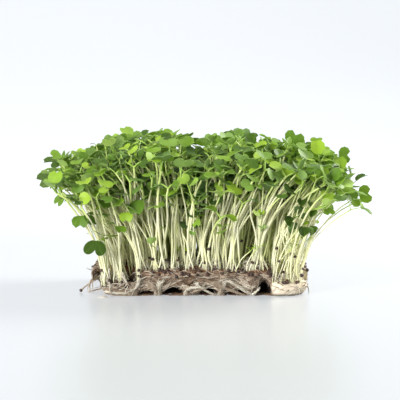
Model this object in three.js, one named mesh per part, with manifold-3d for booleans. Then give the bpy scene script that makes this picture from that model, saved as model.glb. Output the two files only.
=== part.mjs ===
// A block of brassica microgreens turned out of its growing tray, standing on its root mat.
// Millimetres, +Z up, front towards -Y. The origin is the middle of the mat's underside,
// on the surface that it stands on.
import * as THREE from "three";
import { mergeVertices } from "three/addons/utils/BufferGeometryUtils.js";
import Module from "manifold-3d";

const wasm = await Module();
wasm.setup();

// Root mat
const MAT_HALF_X = 52;
const MAT_HALF_Y = 38;
const MAT_CORNER = 11;
const MAT_HEIGHT = 13;
const LOBE_HEIGHT = 6.8; // the mat is thinner over the tray's four corner feet
const LOBE_X = 17; // a corner lobe's length along X
const SCOOP_RADIUS = 14; // the round step down from the main mat to a lobe
const SCOOP_SIDES = 12;
const SCOOP_PLACE = [47, 34];
const WAIST = 3.2; // how far each long side is drawn in between its lobes
const LEFT_STRETCH = 2; // the mat's left end and right end reach this far past MAT_HALF_X
const RIGHT_STRETCH = 3.5;
const LEFT_FLARE = 4; // the left rim leans out over its foot
const OUTLINE_STEPS = 44;
// The wall's section: share of the outline's reach, and share of the local height
const MAT_SECTION = [[0, 0], [0.95, 0], [0.99, 0.28], [0.975, 0.6], [1.01, 0.86], [0.95, 1], [0, 1]];
// Hollows under the front edge, where the tray had ribs: place along X, width and height
const FRONT_HOLLOWS = [[-29.5, 9, 3.2], [-15.5, 13, 4.6], [2, 10, 5], [17, 14, 3], [30, 8, 8.5]];
const SIDE_HOLLOWS = [[-13, 11, 3.6], [11, 12, 4.2]];
const HOLLOW_DEPTH = 9;

// Seed coats stuck to the mat
const SEED_RADIUS = 1.05;
const SEED_COATS = 14;
// A sprouted seed that has come loose leans against the flare of the left rim: its two ends
const STRAY_LOW = [-63.8, -22, 1.05];
const STRAY_HIGH = [-55.2, -21, 7.1];
const STRAY_RADIUS = 0.5;

// Tufts of seedlings, each in a plain hole in the mat
const COLUMNS = 7;
const ROWS = 5;
const COLUMN_PITCH = 14.2;
const ROW_PITCH = 14.4;
const TUFT_JITTER = 1.1;
const CROWN_RADIUS = 3.5;
const CROWN_SIDES = 6;
const CROWN_SUNK = 2.6;
const CROWN_STANDS = 1.5;
const STEM_SUNK = 1.2; // how deep the stems start in their crown
const HOLE_GAP = 0.32;
const RIM_TUFT_SEEDLINGS = 4;
const INNER_TUFT_SEEDLINGS = 3;

// Seedlings
const STEM_HALF = 0.6; // stems are square in section, half of 1.2 mm each way
const STEM_STEPS = 3;
const STEM_CIRCLE = 2; // the stems stand this far from the middle of their crown
const STEM_BEND_OUT = 0.14; // a stem rises first and then leans out: its bend's share of the way
const STEM_BEND_UP = 0.62;
const BLADE_THICKNESS = 0.66;
const BLADE_RISE = 3;
const BLADE_CUP = 0.035;
const MOST_DROOP = 0.045;
const LEAST_SIZE = 0.94; // a seedling's leaves against COTYLEDON_EDGE
const SIZE_RANGE = 0.3;
const CANOPY_TOP = 78; // highest stem end, over the middle of the block
const CANOPY_DEPTH = 27; // the lowest stem ends are this far below the highest
const DEPTH_LOSS = 0.6; // share of that depth which is missing at the canopy's two ends
const CANOPY_REACH = [78, 52]; // half its length along X and along Y
const LEFT_FALL = 14; // how much lower its top is at that reach
const RIGHT_FALL = 24;
const SIDE_FALL = 12;
const SPREAD = [1.47, 1.34]; // the heads stand this many times further out than their tuft
const RIM_WANDER = 11; // how far a head strays from there, along X and along Y
const INNER_WANDER = 9;
const CLEARANCE = 2.7; // between any two of the places that are checked
const STEM_CHECKS = 18;
const STEM_CLEAR_FROM = 0.3; // stems of one tuft may touch below this share of their length
const TRIES = 200;
const RANDOM_SEED = 20261;

// One half of a cotyledon's edge, from its stalk to the notch in its tip: distance out, half width
const COTYLEDON_EDGE = [[2.9, 0.7], [4.9, 4.5], [8.8, 3.5], [7.6, 0]];

const HALF_TURN = new THREE.Matrix4().makeRotationZ(Math.PI);

// Places on both blades of a pair that are kept clear of other seedlings: distance out, offset
const BLADE_CHECKS = [[2.2, 0], [4.6, 0], [7.2, 0], [4.8, 3.4], [4.8, -3.4], [8.2, 3], [8.2, -3]];

// Seedlings that stand out at the edges: column, row, head place, heading and how far it nods
const LEANERS = [
  [0, 0, [-50.5, -47, 31], 190, 62],
  [0, 0, [-74, -33, 60], 175, 30],
  [0, 1, [-75.5, -18, 52], 200, 38],
  [0, 0, [-61, -40, 42], 160, 50],
  [0, 2, [-71, -6, 68], 20, 12],
  [6, 0, [75.5, -30, 49], 15, 28],
  [6, 0, [57, -42, 55], 60, 42],
  [6, 1, [68, -24, 62], 70, 25],
  [6, 2, [76.5, -4, 54], 10, 30],
  [5, 2, [57.5, -6, 75], 40, 10],
  [2, 0, [-3, -44, 47], 95, 20],
];

// Draws numbers from 0 to 1, the same on every run
function seededRandom(seed) {
  let state = seed;
  return () => {
    state = (state * 48271) % 2147483647;
    return state / 2147483647;
  };
}

function smoothstep(value, low, high) {
  const t = Math.min(1, Math.max(0, (value - low) / (high - low)));
  return t * t * (3 - 2 * t);
}

// A closed geometry as a solid that can be joined and cut
function solidOf(geometry) {
  const bare = geometry.clone();
  bare.deleteAttribute("normal");
  bare.deleteAttribute("uv");
  const merged = mergeVertices(bare, 1e-4);
  const index = new Uint32Array(merged.index.array);
  return new wasm.Manifold(
    new wasm.Mesh({ numProp: 3, vertProperties: merged.attributes.position.array, triVerts: index }),
  );
}

function meshOf(name, solid, material) {
  const { vertProperties, triVerts } = solid.getMesh();
  const geometry = new THREE.BufferGeometry();
  geometry.setAttribute("position", new THREE.BufferAttribute(new Float32Array(vertProperties), 3));
  geometry.setIndex(new THREE.BufferAttribute(new Uint32Array(triVerts), 1));
  geometry.computeVertexNormals();
  const mesh = new THREE.Mesh(geometry, material);
  mesh.name = name;
  return mesh;
}

function joined(solids) {
  return wasm.Manifold.union(solids);
}

function scoopPlaces() {
  const [x, y] = SCOOP_PLACE;
  return [[x, y], [-x, y], [-x, -y], [x, -y]];
}

// The height of the mat's top: lower on the corner lobes
function matTop(x, y) {
  const onLobe = scoopPlaces().some(([cx, cy]) => Math.hypot(x - cx, y - cy) < SCOOP_RADIUS);
  return onLobe ? LOBE_HEIGHT : MAT_HEIGHT;
}

function matOutline() {
  const [a, b, c] = [MAT_HALF_X, MAT_HALF_Y, MAT_CORNER];
  const shape = new THREE.Shape();
  shape.moveTo(a, 0).lineTo(a, b - c).absarc(a - c, b - c, c, 0, Math.PI / 2);
  shape.lineTo(c - a, b).absarc(c - a, b - c, c, Math.PI / 2, Math.PI);
  shape.lineTo(-a, c - b).absarc(c - a, c - b, c, Math.PI, Math.PI * 1.5);
  shape.lineTo(a - c, -b).absarc(a - c, c - b, c, Math.PI * 1.5, Math.PI * 2).lineTo(a, 0);
  return shape.getSpacedPoints(OUTLINE_STEPS).map((p) => {
    const waisted = 1 - smoothstep(Math.abs(p.x), a - LOBE_X - 3, a - LOBE_X + 2);
    const ripple = 0.7 * Math.sin(p.x * 0.42 + 1) + 0.5 * Math.sin(p.y * 0.5);
    const onLongSide = Math.abs(p.y) > b - 1;
    const drawnIn = onLongSide ? Math.sign(p.y) * waisted * (WAIST + ripple) : 0;
    return new THREE.Vector2(p.x, p.y - drawnIn);
  });
}

// The mat's body: a turned blank whose rings are pulled out to the plan outline
function matBody() {
  const section = MAT_SECTION.map(([reach, height]) => new THREE.Vector2(reach, height));
  const blank = new THREE.LatheGeometry(section, OUTLINE_STEPS);
  const outline = matOutline();
  const place = blank.attributes.position;
  outline.forEach((edge, step) => {
    section.forEach(({ x: reach, y: height }, ring) => {
      const x = edge.x * reach;
      const y = edge.y * reach;
      const flare = LEFT_FLARE * smoothstep(-x, MAT_HALF_X - 8, MAT_HALF_X) * smoothstep(height, 0.4, 0.9);
      const atEnd = smoothstep(Math.abs(x), MAT_HALF_X - LOBE_X, MAT_HALF_X - 4);
      const stretch = atEnd * (x < 0 ? -LEFT_STRETCH : RIGHT_STRETCH);
      place.setXYZ(step * section.length + ring, x + stretch - flare, y, height * MAT_HEIGHT);
    });
  });
  return solidOf(blank);
}

// A blind arch under the mat's edge, reaching inwards from (x, y)
function hollow(x, y, width, reach, height) {
  const shape = new THREE.SphereGeometry(1, 8, 4).rotateX(Math.PI / 2).scale(width, reach, height);
  return solidOf(shape.translate(x, y, 0));
}

// Steps the top down over a lobe
function scoop([x, y]) {
  const shape = new THREE.CylinderGeometry(SCOOP_RADIUS, SCOOP_RADIUS * 0.94, MAT_HEIGHT, SCOOP_SIDES);
  return solidOf(shape.rotateX(Math.PI / 2).translate(x, y, LOBE_HEIGHT + MAT_HEIGHT / 2));
}

function hollows() {
  const wallY = MAT_HALF_Y - WAIST;
  return [
    ...FRONT_HOLLOWS.map(([x, width, height]) => hollow(x, -wallY, width / 2, HOLLOW_DEPTH, height)),
    ...FRONT_HOLLOWS.map(([x, width, height]) => hollow(-x, wallY, width / 2, HOLLOW_DEPTH, height)),
    ...SIDE_HOLLOWS.map(([y, width, height]) => hollow(-MAT_HALF_X, y, HOLLOW_DEPTH, width / 2, height)),
    ...SIDE_HOLLOWS.map(([y, width, height]) => hollow(MAT_HALF_X, -y, HOLLOW_DEPTH, width / 2, height)),
  ];
}

// The middle of each tuft's crown on the mat's top, and its place in the rows
function tuftPlaces(random) {
  const places = [];
  for (let row = 0; row < ROWS; row++) {
    for (let column = 0; column < COLUMNS; column++) {
      const x = (column - (COLUMNS - 1) / 2) * COLUMN_PITCH + TUFT_JITTER * (2 * random() - 1);
      const y = (row - (ROWS - 1) / 2) * ROW_PITCH + TUFT_JITTER * (2 * random() - 1);
      const onRim = row === 0 || row === ROWS - 1 || column === 0 || column === COLUMNS - 1;
      places.push({ x, y, column, row, onRim, z: matTop(x, y) });
    }
  }
  return places;
}

// Where a pair of blades has risen to, at a distance out from its stem and an offset sideways
function bladeLift(out, aside, droop) {
  const beyond = Math.max(0, out - STEM_HALF);
  return BLADE_RISE * (1 - Math.exp(-beyond / 3)) - droop * beyond * beyond - BLADE_CUP * aside * aside;
}

// The places of a seedling that have to stay clear of other seedlings
function checkPoints(seedling) {
  const points = [];
  const curve = stemCurve(seedling);
  for (let step = 0; step <= STEM_CHECKS; step++) {
    points.push(curve.getPoint(THREE.MathUtils.lerp(STEM_CLEAR_FROM, 1, step / STEM_CHECKS)));
  }
  for (const side of [1, -1]) {
    for (const [out, aside] of BLADE_CHECKS) {
      const place = new THREE.Vector3(side * out, aside, bladeLift(out, aside, seedling.droop));
      points.push(place.multiplyScalar(seedling.size).applyMatrix4(seedling.head));
    }
  }
  return points;
}

function stemCurve({ foot, top }) {
  const bend = new THREE.Vector3(
    foot.x + STEM_BEND_OUT * (top.x - foot.x),
    foot.y + STEM_BEND_OUT * (top.y - foot.y),
    foot.z + STEM_BEND_UP * (top.z - foot.z),
  );
  return new THREE.QuadraticBezierCurve3(foot, bend, top);
}

// A head's frame: blades along X, facing up, then leant away from the middle of the block
function headFrame(top, heading, nod) {
  const away = new THREE.Vector3(top.x / 1.5, top.y, 0).normalize();
  const facing = new THREE.Vector3(0, 0, Math.cos(nod)).addScaledVector(away, Math.sin(nod));
  const turn = new THREE.Quaternion().setFromUnitVectors(new THREE.Vector3(0, 0, 1), facing);
  turn.multiply(new THREE.Quaternion().setFromAxisAngle(new THREE.Vector3(0, 0, 1), heading));
  return new THREE.Matrix4().compose(top, turn, new THREE.Vector3(1, 1, 1));
}

// The height of the canopy's top over a place
function canopyTop(x, y) {
  const [reachX, reachY] = CANOPY_REACH;
  const endFall = x < 0 ? LEFT_FALL : RIGHT_FALL;
  return CANOPY_TOP - endFall * (x / reachX) ** 4 - SIDE_FALL * (y / reachY) ** 4;
}

// The level direction square to a head's blades
function besideOf(head) {
  return new THREE.Vector3().setFromMatrixColumn(head, 1);
}

function drawSeedling(tuft, turn, random) {
  const angle = turn + 0.4 * random();
  const foot = new THREE.Vector3(
    tuft.x + STEM_CIRCLE * Math.cos(angle),
    tuft.y + STEM_CIRCLE * Math.sin(angle),
    tuft.z + CROWN_STANDS - STEM_SUNK,
  );
  const wander = tuft.onRim ? RIM_WANDER : INNER_WANDER;
  const x = tuft.x * SPREAD[0] + wander * (2 * random() - 1);
  const y = tuft.y * SPREAD[1] + wander * (2 * random() - 1);
  const depth = CANOPY_DEPTH * (1 - DEPTH_LOSS * (x / CANOPY_REACH[0]) ** 4);
  const z = canopyTop(x, y) - depth * random() ** (tuft.onRim ? 1 : 1.6);
  const top = new THREE.Vector3(x, y, z);
  const leaning = Math.min(1, Math.hypot(x / CANOPY_REACH[0], y / CANOPY_REACH[1]));
  const nod = (0.1 + 0.5 * random()) * (0.35 + leaning);
  const head = headFrame(top, Math.PI * random(), nod);
  const size = LEAST_SIZE + SIZE_RANGE * random();
  const droop = MOST_DROOP * random();
  return { foot, top, head, beside: besideOf(head), size, droop };
}

// Seedlings for every tuft. Each is drawn again until it is clear of those already standing.
function growSeedlings(tufts, random) {
  const standing = [];
  const isClear = (points) =>
    points.every((p) => standing.every((q) => p.distanceTo(q) > CLEARANCE));
  for (const tuft of tufts) tuft.seedlings = [];
  for (const [column, row, place, heading, nod] of LEANERS) {
    const tuft = tufts[row * COLUMNS + column];
    const seedling = drawSeedling(tuft, (Math.PI / 2) * tuft.seedlings.length, random);
    seedling.top = new THREE.Vector3(...place);
    seedling.head = headFrame(seedling.top, THREE.MathUtils.degToRad(heading), THREE.MathUtils.degToRad(nod));
    seedling.beside = besideOf(seedling.head);
    tuft.seedlings.push(seedling);
    standing.push(...checkPoints(seedling));
  }
  for (const tuft of tufts) {
    const wanted = tuft.onRim ? RIM_TUFT_SEEDLINGS : INNER_TUFT_SEEDLINGS;
    for (let n = tuft.seedlings.length; n < wanted; n++) {
      for (let attempt = 0; attempt < TRIES; attempt++) {
        const seedling = drawSeedling(tuft, (2 * Math.PI * n) / wanted, random);
        const points = checkPoints(seedling);
        if (!isClear(points)) continue;
        tuft.seedlings.push(seedling);
        standing.push(...points);
        break;
      }
    }
  }
}

// Gathers triangles into a geometry. A face is given by its corners, counted anticlockwise from outside.
class Faces {
  constructor() {
    this.corners = [];
  }

  triangle(a, b, c) {
    this.corners.push(a, b, c);
  }

  quad(a, b, c, d) {
    this.triangle(a, b, c);
    this.triangle(a, c, d);
  }

  geometry() {
    return new THREE.BufferGeometry().setFromPoints(this.corners);
  }
}

// One thin arched blade from a stem's square end outwards. The edge runs from the stem to the notch
// on its middle line, and is mirrored there. Both faces are fans from that point.
function addBlade(faces, edge, frame, droop, size) {
  const corner = (out, aside, level) =>
    new THREE.Vector3(
      out * size,
      aside * size,
      bladeLift(out, aside, droop) * size + level * BLADE_THICKNESS,
    ).applyMatrix4(frame);
  const around = [...edge.map(([out, aside]) => [out, -aside]), ...edge.slice(0, -1).reverse()];
  const [lower, upper] = [0, 1].map((level) => {
    const atStem = squareIn(frame, level * BLADE_THICKNESS);
    return [atStem[0], ...around.map(([out, aside]) => corner(out, aside, level)), atStem[1]];
  });
  const middle = edge.length;
  for (let i = 0; i + 1 < upper.length; i++) {
    faces.quad(lower[i], lower[i + 1], upper[i + 1], upper[i]);
    if (i === middle || i + 1 === middle) continue;
    faces.triangle(upper[middle], upper[i], upper[i + 1]);
    faces.triangle(lower[middle], lower[i + 1], lower[i]);
  }
  faces.triangle(upper[middle], upper.at(-1), upper[0]);
  faces.triangle(lower[middle], lower[0], lower.at(-1));
}

// The four corners of a square, turned into a frame and raised along its Z
function squareIn(frame, level) {
  return [[1, -1], [1, 1], [-1, 1], [-1, -1]].map(([x, y]) =>
    new THREE.Vector3(x * STEM_HALF, y * STEM_HALF, level).applyMatrix4(frame),
  );
}

// A stem that rises as a square tube and ends in the underside of its head
function addStem(faces, seedling) {
  const curve = stemCurve(seedling);
  const rings = [];
  for (let step = 0; step < STEM_STEPS; step++) {
    const share = step / STEM_STEPS;
    const frame = new THREE.Matrix4().lookAt(curve.getTangent(share), new THREE.Vector3(), seedling.beside);
    rings.push(squareIn(frame.setPosition(curve.getPoint(share)), 0));
  }
  rings.push(squareIn(seedling.head, 0));
  rings.slice(1).forEach((ring, step) => {
    for (let i = 0; i < 4; i++) {
      const next = (i + 1) % 4;
      faces.quad(rings[step][i], rings[step][next], ring[next], ring[i]);
    }
  });
  faces.quad(...rings[0].toReversed());
}

// A seedling's stem and its blades are one closed surface, which opens from the stem's square end
function seedlingSolid(seedling) {
  const { head, size, droop } = seedling;
  const faces = new Faces();
  addStem(faces, seedling);
  addBlade(faces, COTYLEDON_EDGE, head, droop, size);
  addBlade(faces, COTYLEDON_EDGE, head.clone().multiply(HALF_TURN), droop, size);
  const [lower, upper] = [squareIn(head, 0), squareIn(head, BLADE_THICKNESS)];
  faces.quad(...upper);
  faces.quad(lower[1], lower[2], upper[2], upper[1]);
  faces.quad(lower[3], lower[0], upper[0], upper[3]);
  return solidOf(faces.geometry());
}

// The tangled root crown that holds a tuft's stems together in its hole
function crown(tuft) {
  const height = CROWN_SUNK + CROWN_STANDS;
  const shape = new THREE.CylinderGeometry(CROWN_RADIUS * 0.85, CROWN_RADIUS, height, CROWN_SIDES);
  return solidOf(shape.rotateX(Math.PI / 2).translate(tuft.x, tuft.y, tuft.z - CROWN_SUNK + height / 2));
}

function crownHole(tuft) {
  const radius = CROWN_RADIUS + HOLE_GAP / Math.cos(Math.PI / CROWN_SIDES);
  const shape = new THREE.CylinderGeometry(radius, radius, MAT_HEIGHT, CROWN_SIDES).rotateX(Math.PI / 2);
  return solidOf(shape.translate(tuft.x, tuft.y, tuft.z - CROWN_SUNK - HOLE_GAP + MAT_HEIGHT / 2));
}

function seedCoat(x, y, z) {
  return solidOf(new THREE.IcosahedronGeometry(SEED_RADIUS, 0).translate(x, y, z));
}

// Seed coats lie round the mat's rim, clear of the holes
function seedCoats(tufts, random) {
  const outline = matOutline();
  const coats = [];
  while (coats.length < SEED_COATS) {
    const edge = outline[Math.floor(random() * OUTLINE_STEPS)];
    const reach = 0.86 + 0.08 * random();
    const [x, y] = [edge.x * reach, edge.y * reach];
    const room = CROWN_RADIUS + HOLE_GAP + SEED_RADIUS + 0.3;
    if (tufts.some((tuft) => Math.hypot(x - tuft.x, y - tuft.y) < room)) continue;
    coats.push(seedCoat(x, y, matTop(x, y) + SEED_RADIUS * 0.2));
  }
  return coats;
}

// Two seed coats on one thin stalk
function straySprout() {
  const [low, high] = [new THREE.Vector3(...STRAY_LOW), new THREE.Vector3(...STRAY_HIGH)];
  const bend = low.clone().lerp(high, 0.5).add(new THREE.Vector3(-0.5, 0, 0.7));
  const section = new THREE.Shape().absarc(0, 0, STRAY_RADIUS, 0, Math.PI * 2);
  const stalk = new THREE.ExtrudeGeometry(section, {
    steps: 4,
    curveSegments: 2,
    bevelEnabled: false,
    extrudePath: new THREE.QuadraticBezierCurve3(low, bend, high),
  });
  return joined([solidOf(stalk), seedCoat(...STRAY_LOW), seedCoat(...STRAY_HIGH)]);
}

const matMaterial = new THREE.MeshStandardMaterial({ color: 0x9c8b74, roughness: 0.95, metalness: 0 });
const seedlingMaterial = new THREE.MeshStandardMaterial({ color: 0x6f9e35, roughness: 0.55, metalness: 0 });
const seedMaterial = new THREE.MeshStandardMaterial({ color: 0x3a2620, roughness: 0.6, metalness: 0 });

const random = seededRandom(RANDOM_SEED);
const tufts = tuftPlaces(random);
growSeedlings(tufts, random);

const block = new THREE.Group();
const cutAway = joined([...scoopPlaces().map(scoop), ...hollows(), ...tufts.map(crownHole)]);
const mat = joined([matBody().subtract(cutAway), ...seedCoats(tufts, random)]);
block.add(meshOf("root_mat", mat, matMaterial));
tufts.forEach((tuft, n) => {
  const name = "tuft_" + String(n + 1).padStart(2, "0");
  block.add(meshOf(name, joined([crown(tuft), ...tuft.seedlings.map(seedlingSolid)]), seedlingMaterial));
});
block.add(meshOf("stray_sprout", straySprout(), seedMaterial));

export default block;
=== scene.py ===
# %% [markdown]
# # A block of microgreens on its root mat
#
# Hundreds of brassica seedlings were sown in a shallow tray. When the block is turned out, its roots
# hold it together as a felt-like mat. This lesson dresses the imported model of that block. The model
# has one solid for the mat and one for each tuft of seedlings, so the first step loads it as the
# frame that every new piece has to fit.

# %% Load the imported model
import math

import bmesh
import bpy
import numpy as np
from mathutils import Matrix, Vector, noise
from mathutils.bvhtree import BVHTree


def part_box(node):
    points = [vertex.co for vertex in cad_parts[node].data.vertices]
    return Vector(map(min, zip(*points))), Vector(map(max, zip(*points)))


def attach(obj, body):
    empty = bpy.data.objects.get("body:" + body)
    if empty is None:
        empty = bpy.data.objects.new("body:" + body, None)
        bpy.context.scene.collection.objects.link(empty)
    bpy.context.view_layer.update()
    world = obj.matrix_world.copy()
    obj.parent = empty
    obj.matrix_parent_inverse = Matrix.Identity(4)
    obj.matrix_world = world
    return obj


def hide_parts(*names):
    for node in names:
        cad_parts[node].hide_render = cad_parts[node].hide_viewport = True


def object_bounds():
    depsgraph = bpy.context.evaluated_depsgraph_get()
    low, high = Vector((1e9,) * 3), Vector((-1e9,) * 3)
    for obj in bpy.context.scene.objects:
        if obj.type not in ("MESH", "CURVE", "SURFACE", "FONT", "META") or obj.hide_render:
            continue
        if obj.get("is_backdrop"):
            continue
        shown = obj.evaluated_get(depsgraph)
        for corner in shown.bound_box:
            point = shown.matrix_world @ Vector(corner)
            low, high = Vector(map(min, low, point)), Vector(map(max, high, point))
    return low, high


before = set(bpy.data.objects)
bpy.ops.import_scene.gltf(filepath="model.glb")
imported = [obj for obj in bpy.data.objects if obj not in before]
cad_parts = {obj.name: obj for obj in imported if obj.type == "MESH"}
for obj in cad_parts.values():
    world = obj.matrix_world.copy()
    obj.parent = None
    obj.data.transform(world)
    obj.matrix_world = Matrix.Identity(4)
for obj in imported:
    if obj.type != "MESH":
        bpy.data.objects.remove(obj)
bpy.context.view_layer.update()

MM = 0.001

# %% [markdown]
# ## Where the camera stands
#
# The block is seen nearly level with the table, square to its long side. A long lens far away keeps
# the stems upright. The frame is 200 mm wide where the mat's front wall stands.

# %% Camera
VIEW_WIDTH = 200 * MM
CAMERA_AWAY = 620 * MM
CAMERA_RISE = math.radians(4)
FRONT_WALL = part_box("root_mat")[0].y
VIEW_CENTRE = Vector((-2.5 * MM, FRONT_WALL, 48.8 * MM))

camera = bpy.data.objects.new("camera", bpy.data.cameras.new("camera"))
bpy.context.scene.collection.objects.link(camera)
camera.data.lens = camera.data.sensor_width * CAMERA_AWAY / VIEW_WIDTH
camera.location = VIEW_CENTRE + CAMERA_AWAY * Vector((0, -math.cos(CAMERA_RISE), math.sin(CAMERA_RISE)))
camera.rotation_euler = (math.pi / 2 - CAMERA_RISE, 0, 0)
bpy.context.scene.camera = camera
print("lens, mm:", round(camera.data.lens, 1))

# %% [markdown]
# ## The rule that the seedlings grow by
#
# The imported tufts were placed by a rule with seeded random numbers. A finer seedling has to stand
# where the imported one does, so the same rule is repeated here, in millimetres, with the same draws.

# %% The rule's sizes
COLUMNS = 7
ROWS = 5
COLUMN_PITCH = 14.2
ROW_PITCH = 14.4
TUFT_JITTER = 1.1
MAT_HALF = (52, 38)
MAT_HEIGHT = 13
LOBE_HEIGHT = 6.8
SCOOP_RADIUS = 14
SCOOP_PLACE = (47, 34)
FOOT_RISE = 0.3  # a packed stem starts this far above the mat
RIM_SEEDLINGS = 4
INNER_SEEDLINGS = 3
STEM_CIRCLE = 2
STEM_BEND_OUT = 0.14
STEM_BEND_UP = 0.62
STEM_HALF = 0.6
BLADE_RISE = 3
BLADE_CUP = 0.035
MOST_DROOP = 0.045
LEAST_SIZE = 0.94
SIZE_RANGE = 0.3
CANOPY_TOP = 78
CANOPY_DEPTH = 27
DEPTH_LOSS = 0.6
END_POWER = 4  # the canopy stays level for long and then falls quickly
INNER_CROWDING = 1.6  # above 1, more of the inner heads are near the top
LEAST_NOD = 0.1
NOD_RANGE = 0.5
CANOPY_REACH = (78, 52)
LEFT_FALL = 14
RIGHT_FALL = 24
SIDE_FALL = 12
SPREAD = (1.47, 1.34)
RIM_WANDER = 11
INNER_WANDER = 9
CLEARANCE = 2.7
STEM_CHECKS = 18
STEM_CLEAR_FROM = 0.3
TRIES = 200
BLADE_CHECKS = [(2.2, 0), (4.6, 0), (7.2, 0), (4.8, 3.4), (4.8, -3.4), (8.2, 3), (8.2, -3)]
LEANERS = [
    (0, 0, (-50.5, -47, 31), 190, 62),
    (0, 0, (-74, -33, 60), 175, 30),
    (0, 1, (-75.5, -18, 52), 200, 38),
    (0, 0, (-61, -40, 42), 160, 50),
    (0, 2, (-71, -6, 68), 20, 12),
    (6, 0, (75.5, -30, 49), 15, 28),
    (6, 0, (57, -42, 55), 60, 42),
    (6, 1, (68, -24, 62), 70, 25),
    (6, 2, (76.5, -4, 54), 10, 30),
    (5, 2, (57.5, -6, 75), 40, 10),
    (2, 0, (-3, -44, 47), 95, 20),
]


# %% Random numbers that repeat
class Draw:
    """Draws numbers from 0 to 1, the same on every run."""

    def __init__(self, seed):
        self.state = seed

    def __call__(self):
        self.state = self.state * 48271 % 2147483647
        return self.state / 2147483647

    def between(self, low, high):
        return low + (high - low) * self()


draw = Draw(20261)

# %% [markdown]
# A seedling is a foot, a stem's top, and the frame that its pair of leaves opens in. The frame is a
# turn about the stem and then a nod away from the middle of the block, so that the outer heads hang
# outwards as they do on the real block.


# %% One seedling
def turned(axis, angle):
    """The matrix of a turn about a unit axis."""
    x, y, z = axis
    cross = np.array([[0, -z, y], [z, 0, -x], [-y, x, 0]])
    return np.eye(3) + math.sin(angle) * cross + (1 - math.cos(angle)) * cross @ cross


def head_frame(top, heading, nod):
    away = np.array([top[0] / 1.5, top[1]])
    away = away / np.hypot(*away)
    return turned((-away[1], away[0], 0), nod) @ turned((0, 0, 1), heading)


def canopy_top(x, y):
    end_fall = LEFT_FALL if x < 0 else RIGHT_FALL
    ends = end_fall * (x / CANOPY_REACH[0]) ** END_POWER
    return CANOPY_TOP - ends - SIDE_FALL * (y / CANOPY_REACH[1]) ** END_POWER


def draw_seedling(tuft, turn, draw):
    angle = turn + 0.4 * draw()
    foot = np.array([
        tuft["x"] + STEM_CIRCLE * math.cos(angle),
        tuft["y"] + STEM_CIRCLE * math.sin(angle),
        tuft["z"] + FOOT_RISE,
    ])
    wander = RIM_WANDER if tuft["on_rim"] else INNER_WANDER
    x = tuft["x"] * SPREAD[0] + wander * (2 * draw() - 1)
    y = tuft["y"] * SPREAD[1] + wander * (2 * draw() - 1)
    depth = CANOPY_DEPTH * (1 - DEPTH_LOSS * (x / CANOPY_REACH[0]) ** END_POWER)
    crowding = 1 if tuft["on_rim"] else INNER_CROWDING
    top = np.array([x, y, canopy_top(x, y) - depth * draw() ** crowding])
    leaning = min(1, math.hypot(x / CANOPY_REACH[0], y / CANOPY_REACH[1]))
    nod = (LEAST_NOD + NOD_RANGE * draw()) * (0.35 + leaning)
    head = head_frame(top, math.pi * draw(), nod)
    size = LEAST_SIZE + SIZE_RANGE * draw()
    return {"foot": foot, "top": top, "head": head, "size": size, "droop": MOST_DROOP * draw()}


# %% Places that stay clear of other seedlings
def stem_point(seedling, share):
    foot, top = seedling["foot"], seedling["top"]
    out, up = seedling.get("bend", (STEM_BEND_OUT, STEM_BEND_UP))
    bend = foot + (top - foot) * [out, out, up]
    return (1 - share) ** 2 * foot + 2 * share * (1 - share) * bend + share**2 * top


def blade_lift(out, aside, droop):
    beyond = max(0, out - STEM_HALF)
    return BLADE_RISE * (1 - math.exp(-beyond / 3)) - droop * beyond**2 - BLADE_CUP * aside**2


def check_points(seedling):
    points = []
    for step in range(STEM_CHECKS + 1):
        share = STEM_CLEAR_FROM + (1 - STEM_CLEAR_FROM) * step / STEM_CHECKS
        points.append(stem_point(seedling, share))
    for side in (1, -1):
        for out, aside in BLADE_CHECKS:
            place = np.array([side * out, aside, blade_lift(out, aside, seedling["droop"])])
            points.append(seedling["top"] + seedling["head"] @ (place * seedling["size"]))
    return np.array(points)


# %% The tufts in their rows
def mat_top(x, y):
    """The height of the mat's top: lower on the corner lobes."""
    lobe = math.hypot(abs(x) - SCOOP_PLACE[0], abs(y) - SCOOP_PLACE[1]) < SCOOP_RADIUS
    return LOBE_HEIGHT if lobe else MAT_HEIGHT


def place_tufts(draw):
    tufts = []
    for row in range(ROWS):
        for column in range(COLUMNS):
            x = (column - (COLUMNS - 1) / 2) * COLUMN_PITCH + TUFT_JITTER * (2 * draw() - 1)
            y = (row - (ROWS - 1) / 2) * ROW_PITCH + TUFT_JITTER * (2 * draw() - 1)
            on_rim = row in (0, ROWS - 1) or column in (0, COLUMNS - 1)
            tufts.append({"x": x, "y": y, "z": mat_top(x, y), "on_rim": on_rim, "seedlings": []})
    return tufts


def grow_packed_seedlings(tufts, draw):
    standing = np.empty((0, 3))
    for column, row, place, heading, nod in LEANERS:
        tuft = tufts[row * COLUMNS + column]
        seedling = draw_seedling(tuft, math.pi / 2 * len(tuft["seedlings"]), draw)
        seedling["top"] = np.array(place, float)
        seedling["head"] = head_frame(seedling["top"], math.radians(heading), math.radians(nod))
        tuft["seedlings"].append(seedling)
        standing = np.vstack([standing, check_points(seedling)])
    for tuft in tufts:
        wanted = RIM_SEEDLINGS if tuft["on_rim"] else INNER_SEEDLINGS
        for number in range(len(tuft["seedlings"]), wanted):
            for attempt in range(TRIES):
                seedling = draw_seedling(tuft, 2 * math.pi * number / wanted, draw)
                points = check_points(seedling)
                gaps = np.linalg.norm(points[:, None] - standing[None], axis=2)
                if gaps.min() > CLEARANCE:
                    tuft["seedlings"].append(seedling)
                    standing = np.vstack([standing, points])
                    break


tufts = place_tufts(draw)
grow_packed_seedlings(tufts, draw)

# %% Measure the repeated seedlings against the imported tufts
def corner_distance(place, node):
    """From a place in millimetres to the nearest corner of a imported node."""
    corners = [vert.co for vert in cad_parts[node].data.vertices]
    gaps = np.array(corners) / MM - place
    return np.linalg.norm(gaps, axis=1).min()


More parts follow.
